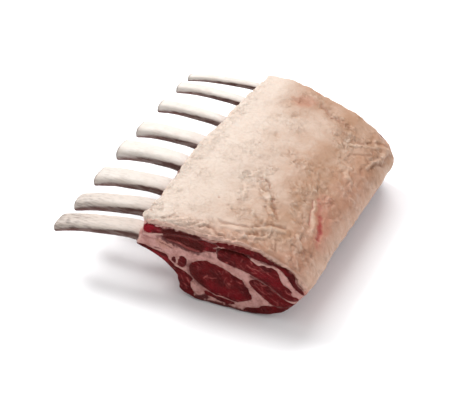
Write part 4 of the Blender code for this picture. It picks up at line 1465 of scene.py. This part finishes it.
@dataclass(frozen=True)
class Rib:
    """One rib: where it runs, how thick it is, and its mesh."""

    number: int
    tip_y: float
    neck_y: float
    head_y: float
    tip_lift: float
    neck_lift: float
    width: float
    thickness: float
    flare: float = 0.0  # how much thicker its tip is, as a share
    dull: float = 0.0  # how grey and ragged it is
    neck: float = 1.06  # its thickness where it enters the meat, as a share
    head: float = 0.78  # its thickness at the head, as a share
    stations: int = 44
    smoothings: int = 6

    def arch(self, shape: RackShape) -> tuple[np.ndarray, np.ndarray]:
        """The rib's middle line in the frame, and how much thicker it is along it."""
        line = np.array(RIB_ARCH, float)
        along = np.concatenate([[0.0], np.cumsum(np.linalg.norm(np.diff(line, axis=0), axis=1))])
        steps = np.linspace(0.0, along[-1], self.stations)
        x, z = (np.interp(steps, along, line[:, k]) for k in range(2))
        for _ in range(self.smoothings):
            x[1:-1], z[1:-1] = ((v[:-2] + 2 * v[1:-1] + v[2:]) / 4.0 for v in (x, z))
        bare = x < shape.left_x
        outer = np.clip((x - shape.tip_x) / (shape.left_x - shape.tip_x), 0.0, 1.0)
        inner = np.clip((x - shape.left_x) / (x[-1] - shape.left_x), 0.0, 1.0)
        y = self.tip_y + (self.neck_y - self.tip_y) * outer + (self.head_y - self.neck_y) * inner
        lift = self.tip_lift + (self.neck_lift - self.tip_lift) * outer
        lift = np.where(bare, lift, self.neck_lift * (1.0 - inner))
        flared = 1.0 + (self.neck - 1.0) * outer + self.flare * (1.0 - outer) ** 2
        scale = np.where(bare, flared, self.neck + (self.head - self.neck) * inner)
        share = np.array([shape.share_at(a, b) for a, b in zip(x, y)])
        moved_x, moved_z = shape.swell(x, z, share)
        return np.stack([moved_x, y, moved_z + lift], axis=1) + shape.origin, scale

    def piece(self, shape: RackShape, tree: bpy.types.NodeTree, material: object) -> bpy.types.Object:
        """Builds the rib with the geometry nodes, as plain mesh.

        Args:
            shape: how the meat runs, which the rib follows.
            tree: the rib tree.
            material: the bone finish.

        Returns:
            The rib.
        """
        line, scale = self.arch(shape)
        guide = bpy.data.meshes.new(f"rib_{self.number}_guide")
        guide.from_pydata((line * MM).tolist(), [(k, k + 1) for k in range(len(line) - 1)], [])
        layer = guide.attributes.new("thick", "FLOAT", "POINT")
        layer.data.foreach_set("value", scale.astype(np.float32))
        holder = placed(guide.name, guide)
        modifier = holder.modifiers.new("rib", "NODES")
        modifier.node_group = tree
        values = {
            "Width": self.width * MM,
            "Thickness": self.thickness * MM,
            "Seed": 3.7 * self.number,
            "Dull": self.dull,
            "Material": material,
        }
        for item in tree.interface.items_tree:
            if item.in_out == "INPUT" and item.name in values:
                modifier[item.identifier] = values[item.name]
        bpy.context.view_layer.update()
        evaluated = holder.evaluated_get(bpy.context.evaluated_depsgraph_get())
        mesh = bpy.data.meshes.new_from_object(evaluated)
        bpy.data.objects.remove(holder)
        mesh.name = f"rib_{self.number}_bone"
        face_outward(mesh)
        return placed(mesh.name, mesh)


RIBS = (
    Rib(1, -108.2, -101.2, -96.4, -2.5, -0.4, 15.0, 7.8, dull=1.0),
    Rib(2, -82.0, -77.5, -75.0, -3.4, -0.2, 13.9, 9.2, dull=0.7),
    Rib(3, -53.0, -50.7, -49.6, -0.2, -0.2, 14.6, 8.2, 0.15, dull=0.3),
    Rib(4, -20.6, -21.9, -21.6, 1.2, -0.1, 13.4, 9.0, 0.3),
    Rib(5, 7.2, 6.1, 5.6, 1.3, -0.2, 11.9, 8.0, 0.18),
    Rib(6, 38.7, 36.9, 34.0, 3.3, 0.4, 9.1, 7.1, 0.15),
    Rib(7, 68.3, 64.7, 59.0, 1.7, 1.1, 8.2, 6.0, 0.22),
    Rib(8, 85.5, 88.1, 77.0, 0.5, 1.3, 6.4, 5.1),
)


def face_outward(mesh: bpy.types.Mesh) -> None:
    """Turns every face of a closed mesh outward."""
    work = bmesh.new()
    work.from_mesh(mesh)
    bmesh.ops.recalc_face_normals(work, faces=work.faces)
    work.to_mesh(mesh)
    work.free()


def rib_tree() -> bpy.types.NodeTree:
    """Geometry nodes of a rib: a cylinder is laid along the guide line and shaped.

    Returns:
        The tree. Its inputs are the guide, Width, Thickness, Rings, Sides, Corner, Seed, Dull
        and Material.
    """
    inputs = {
        "Guide": "NodeSocketGeometry", "Width": 0.012, "Thickness": 0.008, "Rings": 120, "Sides": 56,
        "Corner": 2.6, "Seed": 0.0, "Dull": 0.0, "Material": "NodeSocketMaterial",
    }
    g, start, end = open_group("rib_along_a_line", inputs, {"Rib": "NodeSocketGeometry"}, "GeometryNodeTree")
    sizes = {
        "Vertices": start["Sides"], "Side Segments": start["Rings"], "Fill Segments": 9,
        "Radius": 1.0, "Depth": 2.0,
    }
    geometry = g.get("GeometryNodeMeshCylinder", sizes, "Mesh", fill_type="TRIANGLE_FAN")
    x, y, z = g.parts(g.get("GeometryNodeInputPosition"))
    reach = g.math("MINIMUM", g.math("SQRT", x * x + y * y), 1.0)
    along = g.math("MULTIPLY_ADD", z, 0.5, 0.5)
    # the guide line at this share of its length
    line = g.get("GeometryNodeMeshToCurve", {"Mesh": start["Guide"]})
    sampler = g.add("GeometryNodeSampleCurve", {"Curves": line}, mode="FACTOR", data_type="FLOAT")
    thick = g.get("GeometryNodeInputNamedAttribute", {"Name": "thick"}, "Attribute", data_type="FLOAT")
    g.put(enabled(sampler.inputs, "Value"), thick)
    g.put(enabled(sampler.inputs, "Factor"), along)
    scale = Value(g, enabled(sampler.outputs, "Value"))
    middle, run = scale.beside("Position"), scale.beside("Tangent")
    across = g.vector("NORMALIZE", g.vector("CROSS_PRODUCT", (0.0, 1.0, 0.0), run))
    up = g.vector("NORMALIZE", g.vector("MULTIPLY", across, (1.0, 0.0, 1.0)))
    up = g.scaled(up, g.math("SIGN", g.parts(up)[2]))
    # a rounded oblong across it
    angle = g.math("ARCTAN2", y, x)
    cosine, sine = g.math("COSINE", angle), g.math("SINE", angle)
    half = scale * reach * 0.5
    power = 2.0 / start["Corner"]
    wide = g.math("SIGN", cosine) * g.math("POWER", abs(cosine), power) * half * start["Width"]
    tall = g.math("SIGN", sine) * g.math("POWER", abs(sine), power) * half * start["Thickness"]
    # the rim of each sawn end is worn round, and the flanks of the bone are uneven
    end_gap = 1.0 - abs(z)
    is_end = g.math("LESS_THAN", end_gap, 0.001)
    shifted = {0: wide * (1.0 / MM), 1: start["Seed"], 2: tall * (1.0 / MM)}
    place = g.vector("MULTIPLY", g.scaled(middle, 1.0 / MM), (0.55, 1.0, 1.0))
    place = g.vector("ADD", place, g.get("ShaderNodeCombineXYZ", shifted))
    lumps, grain = g.noise(place, 0.16, 3.0), g.noise(place, 0.6, 3.0)
    swelling = ((lumps - 0.5) * 0.12 + (grain - 0.5) * 0.05 + 1.0) * g.spread(end_gap, 0.0, 0.012, 0.94, 1.0)
    offset = g.vector("ADD", g.scaled((0.0, 1.0, 0.0), wide * swelling), g.scaled(up, tall * swelling))
    slope = wide * 0.06 + tall * 0.26
    saw = slope * g.spread(along, 0.0, 0.07, 1.0, 0.0) + (grain - 0.5) * (0.9 * MM) * is_end
    shaped = g.vector("ADD", g.vector("ADD", middle, offset), g.scaled(run, saw))
    # masks for the finish, taken before the cylinder is bent
    # low marks the lower, front-facing side, more of it towards the meat, where the finish paints shade
    under = g.math("MULTIPLY_ADD", sine, -0.78, cosine * -0.5)
    masks = {
        "low": g.spread(g.math("MULTIPLY_ADD", along, 1.1, under), 0.4, 0.82),
        "tip": g.spread(along, 0.0, 0.42, 1.0, 0.0),
        "core": is_end * g.spread(reach, 0.55, 0.85, 1.0, 0.0),
        "along": along,
        "dull": start["Dull"],
    }
    for name, value in masks.items():
        store = g.add("GeometryNodeStoreNamedAttribute", {"Geometry": geometry, "Name": name},
                      data_type="FLOAT", domain="POINT")
        g.put(enabled(store.inputs, "Value"), value)
        geometry = Value(g, store.outputs[0])
    geometry = g.get("GeometryNodeSetPosition", {"Geometry": geometry, "Position": shaped})
    geometry = g.get("GeometryNodeSetShadeSmooth", {"Geometry": geometry})
    geometry = g.get("GeometryNodeRealizeInstances", {"Geometry": geometry})
    last = {"Geometry": geometry, "Material": start["Material"]}
    g.put(end["Rib"], g.get("GeometryNodeSetMaterial", last))
    return g.tree


# ---- studio --------------------------------------------------------------------------------------------
@dataclass(frozen=True)
class Studio:
    """A pale floor, large soft lights, a bright surround and the camera."""

    floor_size: float = 6.0
    floor_colour: tuple = (0.93, 0.93, 0.945, 1.0)
    surround: float = 0.62
    surround_colour: tuple = (1.0, 0.995, 0.985, 1.0)
    lamps: tuple = (
        ("key_left", (-1.25, 0.46, 1.48), 37.0, 0.8),
        ("key_back", (-0.35, 1.25, 1.50), 22.0, 1.0),
        ("right", (1.40, 0.10, 0.62), 8.0, 1.2),
    )
    lit_place: tuple = (0.0, 0.0, 0.02)
    azimuth: float = 25.0
    elevation: float = 37.0
    distance: float = 1.177
    lens: float = 136.0
    target: tuple = (-0.0150, 0.0044, 0.0033)

    def build(self) -> None:
        """Adds the floor, the lights and the camera."""
        self._floor()
        self._world()
        for lamp in self.lamps:
            self._light(*lamp)
        self._camera()
        view = bpy.context.scene.view_settings
        view.view_transform = "Standard"
        view.look = "None"
        view.exposure = 0.0
        view.gamma = 1.0

    def _floor(self) -> None:
        """A plain pale floor."""
        half = self.floor_size / 2.0
        mesh = bpy.data.meshes.new("floor")
        corners = [(-half, -half, 0.0), (half, -half, 0.0), (half, half, 0.0), (-half, half, 0.0)]
        mesh.from_pydata(corners, [], [(0, 1, 2, 3)])
        material = bpy.data.materials.new("floor_pale")
        material.use_nodes = True
        shader = next(n for n in material.node_tree.nodes if n.type == "BSDF_PRINCIPLED")
        shader.inputs["Base Color"].default_value = self.floor_colour
        shader.inputs["Roughness"].default_value = 0.9
        shader.inputs["Specular IOR Level"].default_value = 0.1
        mesh.materials.append(material)
        placed("floor", mesh)

    def _world(self) -> None:
        """An even, bright surround."""
        world = bpy.data.worlds.new("surround")
        world.use_nodes = True
        back = next(n for n in world.node_tree.nodes if n.type == "BACKGROUND")
        back.inputs["Color"].default_value = self.surround_colour
        back.inputs["Strength"].default_value = self.surround
        bpy.context.scene.world = world

    def _light(self, name: str, place: tuple, power: float, size: float) -> None:
        """A square soft light turned towards the middle of the piece."""
        data = bpy.data.lights.new(name, "AREA")
        data.energy = power
        data.size = size
        lamp = placed(name, data)
        lamp.location = place
        aim = Vector(self.lit_place) - Vector(place)
        lamp.rotation_euler = aim.to_track_quat("-Z", "Y").to_euler()

    def _camera(self) -> None:
        """The camera, turned round the target."""
        turn, rise = math.radians(self.azimuth), math.radians(self.elevation)
        back = Vector((math.sin(turn) * math.cos(rise), -math.cos(turn) * math.cos(rise), math.sin(rise)))
        data = bpy.data.cameras.new("camera")
        data.lens = self.lens
        data.sensor_width = 36.0
        camera = placed("camera", data)
        camera.location = Vector(self.target) + back * self.distance
        camera.rotation_euler = (-back).to_track_quat("-Z", "Y").to_euler()
        bpy.context.scene.camera = camera


# ---- the whole ---------------------------------------------------------------------------------------
def settle(piece: bpy.types.Object, node: str) -> None:
    """Ties a piece to the frame, in the place of one of its nodes."""
    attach(piece, BODY)
    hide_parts(node)
    log.info("%s: %d faces", piece.name, len(piece.data.polygons))


def main() -> None:
    """Builds the ribs, the meat and the studio."""
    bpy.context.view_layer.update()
    effects = Effects.make()
    bone = BoneFinish(effects).material("bone_finish")
    tree = rib_tree()
    shape = RackShape()
    for rib in RIBS:
        settle(rib.piece(shape, tree, bone), f"rib_{rib.number}")
    meat = Meat(shape, RIBS)
    finishes = {
        Slot.FAT: FatFinish(effects).material("fat_finish"),
        Slot.SEAM: SeamFinish(effects).material("seam_finish"),
        Slot.LEAN: LeanFinish(effects).material("lean_finish"),
    }
    for number, region in enumerate((*REGIONS, SEAM)):
        piece = meat.layer(number)
        piece.data.materials.append(finishes[region.slot])
        settle(piece, region.node)
    Studio().build()


if __name__ == "__main__":
    logging.basicConfig(level=logging.INFO, format="%(name)s: %(message)s")
    main()
